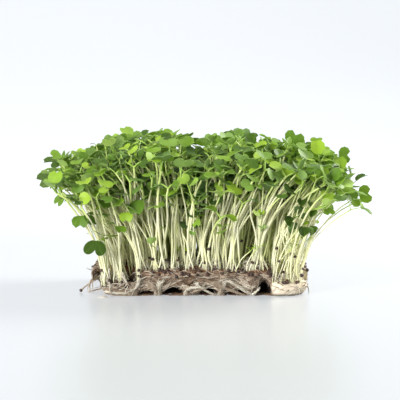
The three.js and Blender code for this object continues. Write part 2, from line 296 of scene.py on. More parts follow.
worst = max(
    corner_distance(seedling["top"], f"tuft_{number:02d}")
    for number, tuft in enumerate(tufts, 1)
    for seedling in tuft["seedlings"]
)
print("packed seedlings:", sum(len(tuft["seedlings"]) for tuft in tufts))
print("a stem's square end has its corners 0.85 mm out, and the worst here is", round(worst, 2))

# %% [markdown]
# ## Materials
#
# Every surface here is alive or was, so none has one flat colour. Each material mixes its colours by
# a noise that is fixed to the object. A leaf also lets light through, so its shader is a mix of a
# glossy surface and a translucent one. A real leaf's upper side is deep green and its underside is
# paler and duller, so the two sides have a material each. Some leaves are mixed towards a pale
# blue-green: that is a painted sheen, the white room reflected in them.


# %% Material helpers
def new_material(name):
    material = bpy.data.materials.new(name)
    material.use_nodes = True
    material.node_tree.nodes.clear()
    return material


def add_node(material, kind, **inputs):
    """A new node. An input's value is a number, a colour, or another node's output to link."""
    node = material.node_tree.nodes.new(kind)
    for name, value in inputs.items():
        socket = node.inputs[name.replace("_", " ")]
        if isinstance(value, bpy.types.NodeSocket):
            material.node_tree.links.new(value, socket)
        else:
            socket.default_value = value
    return node


def add_noise(material, place, scale, detail=3.0, swirl=0.0):
    node = add_node(material, "ShaderNodeTexNoise", Vector=place, Scale=scale, Detail=detail)
    node.inputs["Distortion"].default_value = swirl
    return node.outputs["Fac"]


def object_place(material, stretch=(1, 1, 1)):
    """Object coordinates, stretched so that a noise on them makes streaks."""
    coordinates = add_node(material, "ShaderNodeTexCoord")
    mapping = add_node(material, "ShaderNodeMapping", Vector=coordinates.outputs["Object"], Scale=stretch)
    return mapping.outputs["Vector"]


def add_ramp(material, value, stops):
    """A colour ramp through (place, colour) stops."""
    node = add_node(material, "ShaderNodeValToRGB", Fac=value)
    ramp = node.color_ramp
    while len(ramp.elements) < len(stops):
        ramp.elements.new(0.5)
    for element, (place, colour) in zip(ramp.elements, stops):
        element.position = place
        element.color = (*colour, 1)
    return node.outputs["Color"]


def mix_colour(material, share, first, second):
    node = material.node_tree.nodes.new("ShaderNodeMix")
    node.data_type = "RGBA"
    for socket, value in zip((node.inputs[0], node.inputs[6], node.inputs[7]), (share, first, second)):
        if isinstance(value, bpy.types.NodeSocket):
            material.node_tree.links.new(value, socket)
        else:
            socket.default_value = value if isinstance(value, (int, float)) else (*value, 1)
    return node.outputs[2]


def math_node(material, operation, *values):
    node = material.node_tree.nodes.new("ShaderNodeMath")
    node.operation = operation
    node.use_clamp = operation in ("MULTIPLY_ADD", "SUBTRACT")
    for socket, value in zip(node.inputs, values):
        if isinstance(value, bpy.types.NodeSocket):
            material.node_tree.links.new(value, socket)
        else:
            socket.default_value = value
    return node.outputs[0]


def finish_material(material, colour, roughness, bump=None, strength=0.3, through=0, through_colour=None,
                    shine=0.5):
    """Joins colour, gloss, bump and, for living tissue, the light that comes through."""
    surface = add_node(material, "ShaderNodeBsdfPrincipled", Base_Color=colour, Roughness=roughness)
    surface.inputs["Specular IOR Level"].default_value = shine
    if bump is not None:
        normal = add_node(material, "ShaderNodeBump", Strength=strength, Distance=0.3 * MM, Height=bump)
        material.node_tree.links.new(normal.outputs["Normal"], surface.inputs["Normal"])
    shown = surface.outputs[0]
    if through:
        glow = add_node(material, "ShaderNodeBsdfTranslucent", Color=through_colour or colour)
        blend = add_node(material, "ShaderNodeMixShader", Fac=through)
        material.node_tree.links.new(shown, blend.inputs[1])
        material.node_tree.links.new(glow.outputs[0], blend.inputs[2])
        shown = blend.outputs[0]
    output = add_node(material, "ShaderNodeOutputMaterial")
    material.node_tree.links.new(shown, output.inputs["Surface"])
    return material


# %% [markdown]
# A seed leaf's veins run from the end of its stalk outwards. Its UV map holds the distance out and
# the turn round the stalk, so a vein is a place where the turn is near a chosen value. The tint is
# an attribute that is drawn once for each seedling, because no two stand at the same age. Heads deep
# inside the canopy are given a lower tint as well, which is painted shade.


# %% Leaf materials
VEIN_TURNS = (0.5, 0.32, 0.68)
VEIN_WIDTH = 0.02
# painted sheen: the pale blue-green that some leaves are mixed towards, for the white room reflected in them
PAINTED_SHEEN_COLOUR = (0.33, 0.49, 0.22)
PAINTED_SHEEN_SHARE = 0.7
SUNLIT_GREEN = (0.62, 0.86, 0.03)  # what light turns to on its way through a leaf
SHEEN = 0.05


def vein_lines(material):
    """1 on a vein and 0 away from one."""
    uv = add_node(material, "ShaderNodeUVMap")
    uv.uv_map = "leaf"
    split = add_node(material, "ShaderNodeSeparateXYZ", Vector=uv.outputs["UV"])
    wobble = add_noise(material, uv.outputs["UV"], 6.0, 1.0)
    turn = math_node(material, "MULTIPLY_ADD", wobble, 0.08, split.outputs["Y"])
    turn = math_node(material, "SUBTRACT", turn, 0.04)
    nearest = None
    for vein in VEIN_TURNS:
        gap = math_node(material, "ABSOLUTE", math_node(material, "ADD", turn, -vein))
        nearest = gap if nearest is None else math_node(material, "MINIMUM", nearest, gap)
    line = add_node(material, "ShaderNodeMapRange", Value=nearest, From_Min=0.0, From_Max=VEIN_WIDTH)
    line.inputs["To Min"].default_value = 1
    line.inputs["To Max"].default_value = 0
    return line.outputs["Result"]


def attribute(material, name):
    node = add_node(material, "ShaderNodeAttribute")
    node.attribute_name = name
    return node.outputs["Fac"]


def leaf_material(name, stops, vein_colour, vein_share, roughness, through):
    material = new_material(name)
    mottle = add_noise(material, object_place(material), 260.0)
    mottled = math_node(material, "MULTIPLY_ADD", mottle, 0.3, attribute(material, "tint"))
    shade = math_node(material, "SUBTRACT", mottled, 0.15)
    colour = add_ramp(material, shade, stops)
    # painted sheen: a leaf's colour is mixed towards the pale blue-green by a per-leaf attribute
    painted_sheen = math_node(material, "MULTIPLY", attribute(material, "painted_sheen"), PAINTED_SHEEN_SHARE)
    colour = mix_colour(material, painted_sheen, colour, PAINTED_SHEEN_COLOUR)
    veins = vein_lines(material)
    share = math_node(material, "MULTIPLY", veins, vein_share)
    colour = mix_colour(material, share, colour, vein_colour)
    relief = math_node(material, "MULTIPLY_ADD", veins, -0.5, mottle)
    glow = mix_colour(material, 0.55, colour, SUNLIT_GREEN)
    finish_material(material, colour, roughness, relief, 0.25, through, glow, 0.3)
    material.node_tree.nodes["Principled BSDF"].inputs["Sheen Weight"].default_value = SHEEN
    return material


UPPER_STOPS = [(0.0, (0.028, 0.066, 0.008)), (0.35, (0.115, 0.225, 0.02)), (0.7, (0.27, 0.44, 0.035)),
               (1.0, (0.52, 0.70, 0.06))]
UNDER_STOPS = [(0.0, (0.08, 0.14, 0.04)), (0.35, (0.22, 0.34, 0.10)), (0.7, (0.38, 0.53, 0.14)),
               (1.0, (0.56, 0.70, 0.18))]
leaf_upper = leaf_material("leaf_upper", UPPER_STOPS, (0.36, 0.52, 0.10), 0.22, 0.5, 0.36)
leaf_under = leaf_material("leaf_underside", UNDER_STOPS, (0.50, 0.62, 0.22), 0.3, 0.6, 0.34)
print("leaf materials:", leaf_upper.name, leaf_under.name)

# %% [markdown]
# A stem grows in the dark of the crowd. It is white where it leaves the mat, pale yellow-green higher
# up, and as green as a leaf in the stalks of its leaves. An attribute holds how green each point is,
# and a noise that is drawn out along the stems makes each one a little different from its neighbours.
# Stems inside the block start greener and darker, which is painted shade, and those inside on the
# left a little less so, which is painted light.


# %% Stem material
def stem_material():
    material = new_material("stem")
    own = add_noise(material, object_place(material, (1, 1, 0.06)), 420.0, 1.0)
    shade = math_node(material, "MULTIPLY_ADD", own, 0.3, attribute(material, "green"))
    shade = math_node(material, "SUBTRACT", shade, 0.15)
    colour = add_ramp(material, shade, [(0.0, (0.90, 0.88, 0.72)), (0.2, (0.82, 0.83, 0.46)),
                                        (0.5, (0.62, 0.72, 0.24)), (0.75, (0.38, 0.56, 0.10)),
                                        (1.0, (0.20, 0.37, 0.045))])
    grain = add_noise(material, object_place(material, (1, 1, 0.1)), 1600.0, 2.0)
    return finish_material(material, colour, 0.38, grain, 0.15, 0.22)


stem = stem_material()


# %% [markdown]
# The mat is a felt of roots, with the brown skins of the seeds in it. The roots run level round its
# walls, so its noise is drawn out sideways a little. Its top is redder where seed skins have stained
# it, and the corner pads are paler, because they were pressed flat. The pads are also painted paler
# towards the right, which is painted light from the lamp on that side. The depth of the hollows and
# the foot of the right pads are painted near black, which is painted shade, and soil darkens the left pads.


# %% Mat and root materials
STAINED = (9 * MM, 12.5 * MM)  # the stain starts at the first height and is full from the second
STAIN_COLOUR = (0.13, 0.050, 0.022)
# painted shade: near black for the depth of the hollows and the foot of the right pads; the soil in the left
# pads is mixed towards it as well
SHADE_AND_SOIL_COLOUR = (0.012, 0.007, 0.004)


def mat_material():
    material = new_material("root_felt")
    place = object_place(material)
    height = add_node(material, "ShaderNodeSeparateXYZ", Vector=place).outputs["Z"]
    streaks = add_noise(material, object_place(material, (1, 1, 1.3)), 520.0, 9.0, 2.2)
    patches = add_noise(material, place, 95.0, 3.0)
    blend = math_node(material, "MULTIPLY_ADD", patches, 0.9, streaks)
    blend = math_node(material, "SUBTRACT", blend, 0.45)
    colour = add_ramp(material, blend, [(0.30, (0.026, 0.014, 0.007)), (0.44, (0.110, 0.070, 0.044)),
                                        (0.56, (0.21, 0.152, 0.105)), (0.72, (0.42, 0.335, 0.25))])
    high = add_node(material, "ShaderNodeMapRange", Value=height, From_Min=STAINED[0], From_Max=STAINED[1])
    stain = math_node(material, "MULTIPLY", high.outputs["Result"], 0.75)
    colour = mix_colour(material, stain, colour, STAIN_COLOUR)
    # the pads' paler felt, whose mask also holds painted light that grows towards the right
    felt = add_ramp(material, patches, [(0.3, (0.50, 0.39, 0.27)), (0.55, (0.80, 0.70, 0.54))])
    colour = mix_colour(material, attribute(material, "pad"), colour, felt)
    # painted shade in the hollows and at the right pads' foot, and the dark soil of the left pads
    colour = mix_colour(material, attribute(material, "hollow"), colour, SHADE_AND_SOIL_COLOUR)
    return finish_material(material, colour, 0.95, streaks, 0.6, shine=0.2)


def root_material(name, dark, light, through):
    material = new_material(name)
    own = add_noise(material, object_place(material), 240.0, 2.0)
    colour = add_ramp(material, own, [(0.3, dark), (0.7, light)])
    grain = add_noise(material, object_place(material), 1500.0, 2.0)
    return finish_material(material, colour, 0.6, grain, 0.3, through)


root_felt = mat_material()
root_white = root_material("root_white", (0.70, 0.63, 0.50), (0.90, 0.86, 0.76), 0.3)
root_tan = root_material("root_tan", (0.26, 0.19, 0.13), (0.52, 0.42, 0.31), 0.1)
root_brown = root_material("root_brown", (0.055, 0.028, 0.014), (0.17, 0.10, 0.055), 0.0)
root_rust = root_material("root_rust", (0.30, 0.135, 0.07), (0.55, 0.32, 0.20), 0.1)


# %% Seed coat material
def seed_material():
    material = new_material("seed_coat")
    own = add_noise(material, object_place(material), 300.0, 2.0)
    colour = add_ramp(material, own, [(0.3, (0.016, 0.008, 0.006)), (0.55, (0.05, 0.022, 0.014)),
                                      (0.8, (0.13, 0.06, 0.032))])
    pits = add_node(material, "ShaderNodeTexVoronoi", Vector=object_place(material), Scale=3200.0)
    return finish_material(material, colour, 0.45, pits.outputs["Distance"], 0.4)


seed_coat = seed_material()
print("root materials:", [made.name for made in (root_felt, root_white, root_tan, root_brown, root_rust)])

# %% [markdown]
# ## The root mat
#
# The real mat kept the tray's moulding: four lower pads at its corners and hollows under its walls.
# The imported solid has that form, so the finer mat starts from a copy of it. Plugs fill the holes
# that the tufts stand in, and a voxel remesh makes one even skin of it all. A Boolean union would
# join the plugs too, but it would leave the large flat faces, which can't take any relief.

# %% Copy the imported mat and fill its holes
PLUG_RADIUS = 4.3
PLUG_DEPTH = 3.6
VOXEL = 0.75


def mat_block():
    bm = bmesh.new()
    bm.from_mesh(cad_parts["root_mat"].data)
    bmesh.ops.scale(bm, vec=[1 / MM] * 3, verts=bm.verts)
    bmesh.ops.remove_doubles(bm, verts=bm.verts, dist=1e-4)
    for tuft in tufts:
        place = Matrix.Translation((tuft["x"], tuft["y"], tuft["z"] - PLUG_DEPTH / 2 - 0.1))
        bmesh.ops.create_cone(bm, cap_ends=True, segments=12, radius1=PLUG_RADIUS, radius2=PLUG_RADIUS,
                              depth=PLUG_DEPTH, matrix=place)
    return bm


def mesh_object(name, bm):
    """An object with its place in its mesh. The bmesh is in millimetres, and the object in metres."""
    bmesh.ops.scale(bm, vec=[MM] * 3, verts=bm.verts)
    mesh = bpy.data.meshes.new(name)
    bm.to_mesh(mesh)
    bm.free()
    for polygon in mesh.polygons:
        polygon.use_smooth = True
    made = bpy.data.objects.new(name, mesh)
    bpy.context.scene.collection.objects.link(made)
    return made


def apply_modifiers(made):
    evaluated = made.evaluated_get(bpy.context.evaluated_depsgraph_get())
    mesh = bpy.data.meshes.new_from_object(evaluated)
    made.modifiers.clear()
    made.data = mesh


mat = mesh_object("root_mat_felt", mat_block())
remesh = mat.modifiers.new("even_skin", "REMESH")
remesh.mode = "VOXEL"
remesh.voxel_size = VOXEL * MM
apply_modifiers(mat)
print("faces in the mat's skin:", len(mat.data.polygons))

# %% [markdown]
# Now the skin is worked like clay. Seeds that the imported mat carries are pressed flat, because finer
# ones come later. The hollows at the foot of the long walls are pushed in deeper. Then each point
# moves along its normal: large soft lumps where bundles of roots cross, and fine ridges that run
# level round the walls. The corner pads were pressed flat by the tray, so they get less of both.
# A pair of numbers below is where a change starts and where it is complete, in millimetres.

# %% Relief on the mat
LUMP = 1.0
RIDGE = 0.16
LUMP_PATTERN = ((0.15, 0.15, 0.22), 0.38)  # how fast it changes along x, y and z, and its finer part's rate
RIDGE_PATTERN = ((0.6, 0.6, 1), 1.4)
FINER_SHARE = 0.6
RIM_WAVE = 1.5
PAD_EDGE = 13.0
PAD_BULGE = 0.4
RIGHT_TRIM = 3.0  # the real mat ends this much sooner on the right
HOLLOWS = [(-29.5, 9, 3.2), (-15.5, 13, 4.6), (2, 10, 5), (17, 14, 3), (30, 8, 8.5)]  # place, width, height
HOLLOW_PUSH = 6
HOLLOW_DEPTH = 14
FLAT_BELOW = (0.2, 1.5)
PAD_WALL = (2.8, 4.4)
LEFT_END = (-30, -20)
RIGHT_END = (20, 30)
# painted light: the pads grow paler from the first x to the second, towards the lamp on the right
PAINTED_LIGHT_RISE = (-20, 30)
# painted light: the mat's right end is pale from the first x to the second
LIT_RIGHT_END = (47, 51)
# painted shade at the right pads' foot: full below the first height, gone above the second
PAD_FOOT_SHADE = (0.8, 1.6)
SOIL_LEVEL = (3.2, 4.6)
RIM_LEVEL = (9, 13)
TRIMMED = (38, 52)


def smoothstep(value, low, high):
    t = min(1, max(0, (value - low) / (high - low)))
    return t * t * (3 - 2 * t)


def on_pad(x, y):
    """1 on a corner pad and 0 on the main mat."""
    away = math.hypot(abs(x) - SCOOP_PLACE[0], abs(y) - SCOOP_PLACE[1])
    return 1 - smoothstep(away, PAD_EDGE - 1, PAD_EDGE + 2)


def in_hollow(x, y, z):
    """How far inside a hollow of a long wall a place is, from 0 to 1."""
    if abs(y) < MAT_HALF[1] - HOLLOW_DEPTH:
        return 0
    along = x if y < 0 else -x
    gaps = [math.hypot((along - middle) / (width / 2), z / height) for middle, width, height in HOLLOWS]
    return 1 - smoothstep(min(gaps), 0.75, 1.1)


def pattern(place, rates, fine_rate):
    """Noise in two sizes. The larger one is drawn out level."""
    large = noise.noise(Vector([part * rate for part, rate in zip(place, rates)]))
    return large + FINER_SHARE * noise.noise(Vector(place) * fine_rate)


def mat_relief(x, y, z):
    quiet = 1 - 0.75 * on_pad(x, y)
    lumps = pattern((x, y, z), *LUMP_PATTERN)
    ridges = pattern((x, y, z), *RIDGE_PATTERN)
    return quiet * (LUMP * lumps + RIDGE * ridges)


def pale_pads_and_painted_light(x, y, z):
    """Pads are paler felt on their walls. Their rise in paleness to the right, and the pale right end of the
    mat, are painted light from the lamp on the right.
    """
    wall = 1 - smoothstep(z, *PAD_WALL) * (1 - smoothstep(x, 0, RIGHT_END[1]))
    pad = on_pad(x, y) * wall * (0.34 + 0.6 * smoothstep(x, *PAINTED_LIGHT_RISE))
    return max(pad, 0.8 * smoothstep(x, *LIT_RIGHT_END))


def painted_shade_and_soil(x, y, z):
    """Painted shade, 1 in the depth of a hollow and up to 0.8 at the foot of the right pads. Soil lies in
    the left pads and darkens them too.
    """
    foot = 0.8 * smoothstep(x, *RIGHT_END) * (1 - smoothstep(z, *PAD_FOOT_SHADE))
    soil = 0.8 * (1 - smoothstep(x, *LEFT_END)) * smoothstep(z, *SOIL_LEVEL)
    return max(in_hollow(x, y, z), on_pad(x, y) * max(foot, soil))


def work_mat():
    bm = bmesh.new()
    bm.from_mesh(mat.data)
    bmesh.ops.scale(bm, vec=[1 / MM] * 3, verts=bm.verts)
    for vert in bm.verts:
        vert.co.z = min(vert.co.z, mat_top(vert.co.x, vert.co.y) + 0.1)
    for turn in range(2):
        bmesh.ops.smooth_vert(bm, verts=bm.verts, factor=0.5, use_axis_x=True, use_axis_y=True,
                              use_axis_z=True)
    bm.normal_update()
    pad = bm.verts.layers.float.new("pad")
    hollow = bm.verts.layers.float.new("hollow")
    moves = []
    for vert in bm.verts:
        x, y, z = vert.co
        above = smoothstep(z, *FLAT_BELOW)
        swell = math.sin(math.pi * min(1, z / LOBE_HEIGHT))
        bulge = PAD_BULGE * on_pad(x, y) * smoothstep(x, 0, RIGHT_END[1]) * swell
        move = vert.normal * (mat_relief(x, y, z) * above + bulge)
        move.z += RIM_WAVE * noise.noise(Vector((x * 0.13, y * 0.13, 5))) * smoothstep(z, *RIM_LEVEL)
        move.x -= RIGHT_TRIM * smoothstep(x, *TRIMMED)
        move.y -= math.copysign(HOLLOW_PUSH, y) * in_hollow(x, y, z) * abs(vert.normal.y)
        moves.append(move)
        # painted shade in the hollows and at the right pads' foot, and the left pads' soil
        vert[hollow] = painted_shade_and_soil(x, y, z)
        # pad paleness, partly the pads' own felt and partly painted light towards the right
        vert[pad] = pale_pads_and_painted_light(x, y, z)
    for vert, move in zip(bm.verts, moves):
        vert.co += move
        vert.co.z = max(vert.co.z, 0)
    return bm


worked = mesh_object("root_mat_body", work_mat())
bpy.data.objects.remove(mat)
mat = worked
mat.data.materials.append(root_felt)
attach(mat, "root")
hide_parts("root_mat")
low, high = mat.bound_box[0], mat.bound_box[6]
print("mat, mm:", [round((b - a) / MM, 1) for a, b in zip(low, high)])

# %% [markdown]
# ## Roots over the mat
#
# A felt texture alone looks like cloth. What makes the real mat read as roots is the hundreds of
# single strands that creep over it, white ones on top of brown ones. Each strand here is a walk over
# the mat's skin: it steps on, looks for the nearest point of the skin, and steps on from there. A
# curve with a bevel makes the tube, because it keeps the radius that each point asks for.


# %% Tubes from paths
def tubes(strands, sides, materials, values=None):
    """A mesh of closed, tapered tubes. A strand is its points in millimetres, radii and material number."""
    curve = bpy.data.curves.new("strands", "CURVE")
    curve.dimensions = "3D"
    curve.bevel_depth = 1
    curve.bevel_resolution = sides // 2 - 2
    curve.use_fill_caps = True
    for material in materials:
        curve.materials.append(material)
    for points, radii, number in strands:
        spline = curve.splines.new("POLY")
        spline.points.add(len(points) - 1)
        spline.points.foreach_set("co", [part for point in points for part in (*point, 1)])
        spline.points.foreach_set("radius", radii)
        spline.material_index = number
    holder = bpy.data.objects.new("strands", curve)
    bpy.context.scene.collection.objects.link(holder)
    evaluated = holder.evaluated_get(bpy.context.evaluated_depsgraph_get())
    mesh = bpy.data.meshes.new_from_object(evaluated)
    bpy.data.objects.remove(holder)
    bm = bmesh.new()
    bm.from_mesh(mesh)
    if values:
        mark_greens(bm, values, sides)
    bmesh.ops.remove_doubles(bm, verts=bm.verts, dist=1e-4)
    bm.to_mesh(mesh)
    bm.free()
    return mesh


def mark_greens(bm, values, sides):
    """Writes one value for each ring. The caps' rings come first, last strand first, end before start."""
    caps = [cap for strand in reversed(values) for cap in (strand[-1], strand[0])]
    rings = caps + [value for strand in values for value in strand]
    green = bm.verts.layers.float.new("green")
    for vert, value in zip(bm.verts, np.repeat(rings, sides)):
        vert[green] = value


def tube_piece(name, strands, sides, materials):
    bm = bmesh.new()
    bm.from_mesh(tubes(strands, sides, materials))
    piece = mesh_object(name, bm)
    for material in materials:
        piece.data.materials.append(material)
    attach(piece, "root")
    print(name, "strands:", len(strands), "faces:", len(piece.data.polygons))


# %% The mat's skin as a tree that answers where the nearest point is
def skin_of(piece):
    places = [vert.co / MM for vert in piece.data.vertices]
    return BVHTree.FromPolygons(places, [polygon.vertices[:] for polygon in piece.data.polygons])


skin = skin_of(mat)


FLOW = 2.4
FLOW_GRIP = 0.4
LEVEL_SKIN = 0.2
OFF_TABLE = 0.1  # the least gap between a root's side and the table
TURN_BACK_BELOW = 0.6
MOST_LOOSE = 0.35


def flow(place):
    """How steeply the roots run at a place. Neighbours run alike, as if combed."""
    return FLOW * noise.noise(Vector((place.x * 0.1, place.y * 0.1, place.z * 0.16)))


def creep(start, draw, steps, stride, rise, wander):
    """A root's path over the skin, which it leaves a little now and then."""
    place, normal, *rest = skin.find_nearest(Vector(start))
    across = normal.cross(Vector((0, 0, 1)))
    if across.length < LEVEL_SKIN:
        across = Vector((draw.between(-1, 1), draw.between(-1, 1), 0))
    heading = across.normalized() * (1 if draw() < 0.5 else -1)
    path = [place + normal * rise]
    path[0].z = max(path[0].z, rise + OFF_TABLE)
    for step in range(steps):
        heading += Vector([draw.between(-wander, wander) for axis in range(3)])
        heading.z += (flow(place) - heading.z) * FLOW_GRIP
        heading -= normal * heading.dot(normal)
        heading.normalize()
        place, normal, *rest = skin.find_nearest(place + heading * stride)
        if place.z < TURN_BACK_BELOW:
            heading.z = abs(heading.z) + 0.3
        point = place + normal * (rise + MOST_LOOSE * draw() ** 3)
        point.z = max(point.z, rise + OFF_TABLE)
        path.append(point)
    return path


def taper(count, thick):
    """A root is thickest near its start and ends in a point."""
    return [thick * (1 - 0.75 * (step / (count - 1)) ** 2) for step in range(count)]


# %% Creeping roots
WALL_ROOTS = 4400
TOP_ROOTS = 250
WHITE, TAN, BROWN, RUST = range(4)
KINDS = [(WHITE, 0.3, 0.07, 0.17), (TAN, 0.56, 0.07, 0.18), (BROWN, 0.14, 0.07, 0.16)]  # share, radii
RUSTY_SHARE = 0.45
RUSTY_LEVEL = (8, 12)
STEPS = (4, 9)
STRIDE = 1.5
WANDER = 0.5
WALL_CENTRE = (0.86, 0.8)  # roots on the top start this much nearer the middle
ABOVE_MAT = 16


def wall_start(draw):
    """A place just outside the mat's wall."""
    x, y = draw.between(-57, 58), draw.between(-40, 40)
    if draw() < MAT_HALF[0] / (MAT_HALF[0] + MAT_HALF[1]):
        y = math.copysign(44, draw() - 0.62)
    else:
        x = math.copysign(64, draw() - 0.5)
    return x, y, draw.between(0.8, MAT_HEIGHT)


def pick_kind(draw, redder=0.0):
    chance = draw() + redder
    for number, share, thin, thick in KINDS:
        chance -= share
        if chance < 0:
            break
    if redder and draw() < RUSTY_SHARE * redder:
        number = RUST
    return number, draw.between(thin, thick)


def has_room(path, number, draw):
    """Roots are few in the hollows and on the smooth pads. Those on the right pads are white."""
    middle = path[len(path) // 2]
    smooth = on_pad(middle.x, middle.y)
    if number != WHITE and middle.x > 0 and smooth > 0.4:
        return False
    return draw() > max(in_hollow(*middle), 0.85 * smooth)


def creeping_roots(draw):
    strands = []
    for count in range(WALL_ROOTS + TOP_ROOTS):
        start = wall_start(draw)
        number, thick = pick_kind(draw, 0.6 * smoothstep(start[2], *RUSTY_LEVEL))
        if count >= WALL_ROOTS:
            start = (start[0] * WALL_CENTRE[0], start[1] * WALL_CENTRE[1], ABOVE_MAT)
        path = creep(start, draw, int(draw.between(*STEPS)), STRIDE, thick * 0.7, WANDER)
        if has_room(path, number, draw):
            strands.append((path, taper(len(path), thick), number))
    return strands


draw = Draw(7301)
root_kinds = [root_white, root_tan, root_brown, root_rust]
strands = creeping_roots(draw)
for name, front in (("creeping_roots_front", True), ("creeping_roots_back", False)):
    chosen = [strand for strand in strands if (strand[0][0].y < 0) == front]
    tube_piece(name, chosen, 4, root_kinds)

# %% [markdown]
# Where the block stood on the tray's ribs, loose roots hang down to the table, and some make loops
# that leave the wall and come back. Between the hollows, ropes of many roots reach down like feet.
# The most striking ones were measured, and each is a path along the front wall that a bundle of
# roots follows. They hide the straight lower edge.


# %% Hanging roots, loops and ropes
HANGING = 80
HANG_FROM = (2.5, 7)
HANG_ALONG = (-3.5, 3.5)
HANG_OUT = (0.3, 1.6)
FOOT_LEVEL = 0.25
LOOPS = 120
LOOP_SPANS = (3, 8)
LOOP_LIFT = (-3, 3)
LOOP_OUT = (0.6, 1.8)
ROPE_FRONT = -36.2
ROPES = [  # places along the wall and up it, a root's thickness, how far it strays, count, kind
    ([(0, 4.2), (-7.5, 5.4), (-11.2, 3.2), (-9.6, 0.4)], 0.13, 1.0, 26, WHITE),
    ([(-2, 3.2), (-6, 3), (-9, 0.5)], 0.11, 1.0, 12, TAN),
    ([(-28, 7), (-24.5, 4), (-23.2, 0.4)], 0.11, 1.9, 30, TAN),
    ([(-22, 8), (-24, 4), (-24.6, 0.4)], 0.1, 1.8, 18, WHITE),
    ([(24, 0.7), (25.8, 2.1), (27.3, 4.4)], 0.3, 0.35, 7, WHITE),
    ([(4, 7), (9, 4.6), (15, 2), (20, 0.5)], 0.1, 1.7, 20, TAN),
    ([(12, 8), (17, 5), (21, 2.2), (24, 0.5)], 0.09, 1.6, 18, WHITE),
    ([(-5, 7), (-1, 3.4), (3, 1.2), (6, 0.4)], 0.1, 1.1, 12, WHITE),
    ([(6, 7), (8.2, 3), (8.6, 0.4)], 0.11, 1.7, 26, TAN),
    ([(10, 8), (9, 4), (7, 0.4)], 0.07, 1.5, 14, WHITE),
    ([(-50, 2.4), (-42, 1), (-34.5, 0.6), (-33, 9)], 0.11, 0.9, 36, WHITE),
    ([(-48.5, 14), (-48.2, 6), (-47, 1.5)], 0.15, 0.7, 9, WHITE),
    ([(-42, 12), (-39.5, 7), (-36.5, 3)], 0.18, 0.6, 6, WHITE),
]
ROPE_WAVE = 0.5
SHADE_ROOTS_EACH = 40  # painted shade: dark brown roots laid on the table under the arch of each hollow, to darken the table there
UNDER_DEPTHS = (4, 16)
UNDER_LEVELS = (0.1, 0.5)
UNDER_THICK = 0.3
STRAYS = [  # three places, then as above: a strand on the table, crumbs of root, and twigs on the left rim
    ([(-50, -18, 3), (-55, -19, 1.6), (-60, -20, 0.6)], 0.22, 0.7, 9, TAN),
    ([(-49.5, -39.5, 0.4), (-51.5, -40.5, 0.3), (-53.5, -40, 0.3)], 0.16, 0.9, 6, WHITE),
    ([(-53.5, -25, 11.5), (-57.5, -26, 11.6), (-60.5, -26, 13)], 0.16, 0.25, 3, BROWN),
    ([(-53, -25, 12), (-54.5, -26, 15), (-54, -26, 18)], 0.12, 0.9, 5, TAN),
]


def hanging_root(draw):
    place, normal, *rest = skin.find_nearest(Vector(wall_start(draw)[:2] + (draw.between(*HANG_FROM),)))
    out = Vector((normal.x, normal.y, 0)).normalized()
    along = Vector((-out.y, out.x, 0)) * draw.between(*HANG_ALONG)
    reach = draw.between(*HANG_OUT)
    foot = Vector((place.x, place.y, FOOT_LEVEL)) + out * reach + along
    bend = place + out * reach * 1.3 + along * 0.3
    return smooth_path([place, bend, foot], 7)


def root_loop(draw):
    place, normal, *rest = skin.find_nearest(Vector(wall_start(draw)))
    along = normal.cross(Vector((0, 0, 1))).normalized() * draw.between(*LOOP_SPANS)
    other, *rest = skin.find_nearest(place + along + Vector((0, 0, draw.between(*LOOP_LIFT))))
    out = normal * draw.between(*LOOP_OUT)
    return [place.lerp(other, share) + out * math.sin(math.pi * share) for share in np.linspace(0, 1, 9)]


def smooth_path(corners, count):
    """A curve that starts and ends at the outer corners and is drawn towards the others."""
    path = []
    for share in np.linspace(0, 1, count):
        points = [Vector(corner) for corner in corners]
        while len(points) > 1:
            points = [first.lerp(second, share) for first, second in zip(points, points[1:])]
        path.append(points[0])
    return path


def rope(places, reach, draw):
    corners = []
    for along, up in places:
        corners.append((along + draw.between(-reach, reach), ROPE_FRONT + draw.between(-0.9, 0.9), up))
    path = smooth_path(corners, 9)
    for point in path:
        point += Vector([draw.between(-ROPE_WAVE, ROPE_WAVE) for axis in range(3)])
    return path


def stray(places, reach, draw):
    away = Vector([draw.between(-reach, reach) for axis in range(3)])
    return [point + away for point in smooth_path(places, 7)]


# painted shade: a dark root on the table under a hollow's arch, where the table is in shade
def painted_shade_root(hollow, side, draw):
    middle, width, height = hollow
    x = middle + width * draw.between(-0.6, 0.6)
    y = -(MAT_HALF[1] - draw.between(*UNDER_DEPTHS))
    corners = [(x + 2 * step, y + draw.between(-1.5, 1.5), draw.between(*UNDER_LEVELS)) for step in range(3)]
    return [Vector((side * point.x, side * point.y, point.z)) for point in smooth_path(corners, 5)]


def loose_roots(draw):
    strands = []
    for maker, count in ((hanging_root, HANGING), (root_loop, LOOPS)):
        for number in range(count):
            kind, thick = pick_kind(draw)
            path = maker(draw)
            strands.append((path, taper(len(path), thick * 1.25), kind))
    for maker, routes in ((rope, ROPES), (stray, STRAYS)):
        for places, thick, reach, count, kind in routes:
            for number in range(count):
                path = maker(places, reach, draw)
                strands.append((path, taper(len(path), thick * draw.between(0.7, 1.2)), kind))
    # painted shade: dark roots on the table under each hollow's arch
    for hollow in HOLLOWS:
        for side in (1, -1):
            for number in range(SHADE_ROOTS_EACH):
                strands.append((painted_shade_root(hollow, side, draw), taper(5, UNDER_THICK), BROWN))
    for path, radii, kind in strands:
        for point, radius in zip(path, radii):
            point.z = max(point.z, radius)
    return strands


tube_piece("loose_roots", loose_roots(draw), 6, root_kinds)

# %% [markdown]
# ## More seedlings in every tuft
#
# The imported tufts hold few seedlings, because each has to be a solid. The real block holds one for
# about every eight square millimetres of mat. The extra ones come up in small clumps all over their
# tuft's share of the mat. Their heads fill a band between a crown line and a skirt line that were
# measured along the block. Of several places for a new head, the one that is furthest from the other
# heads is taken, because plants that compete for light spread out like that.

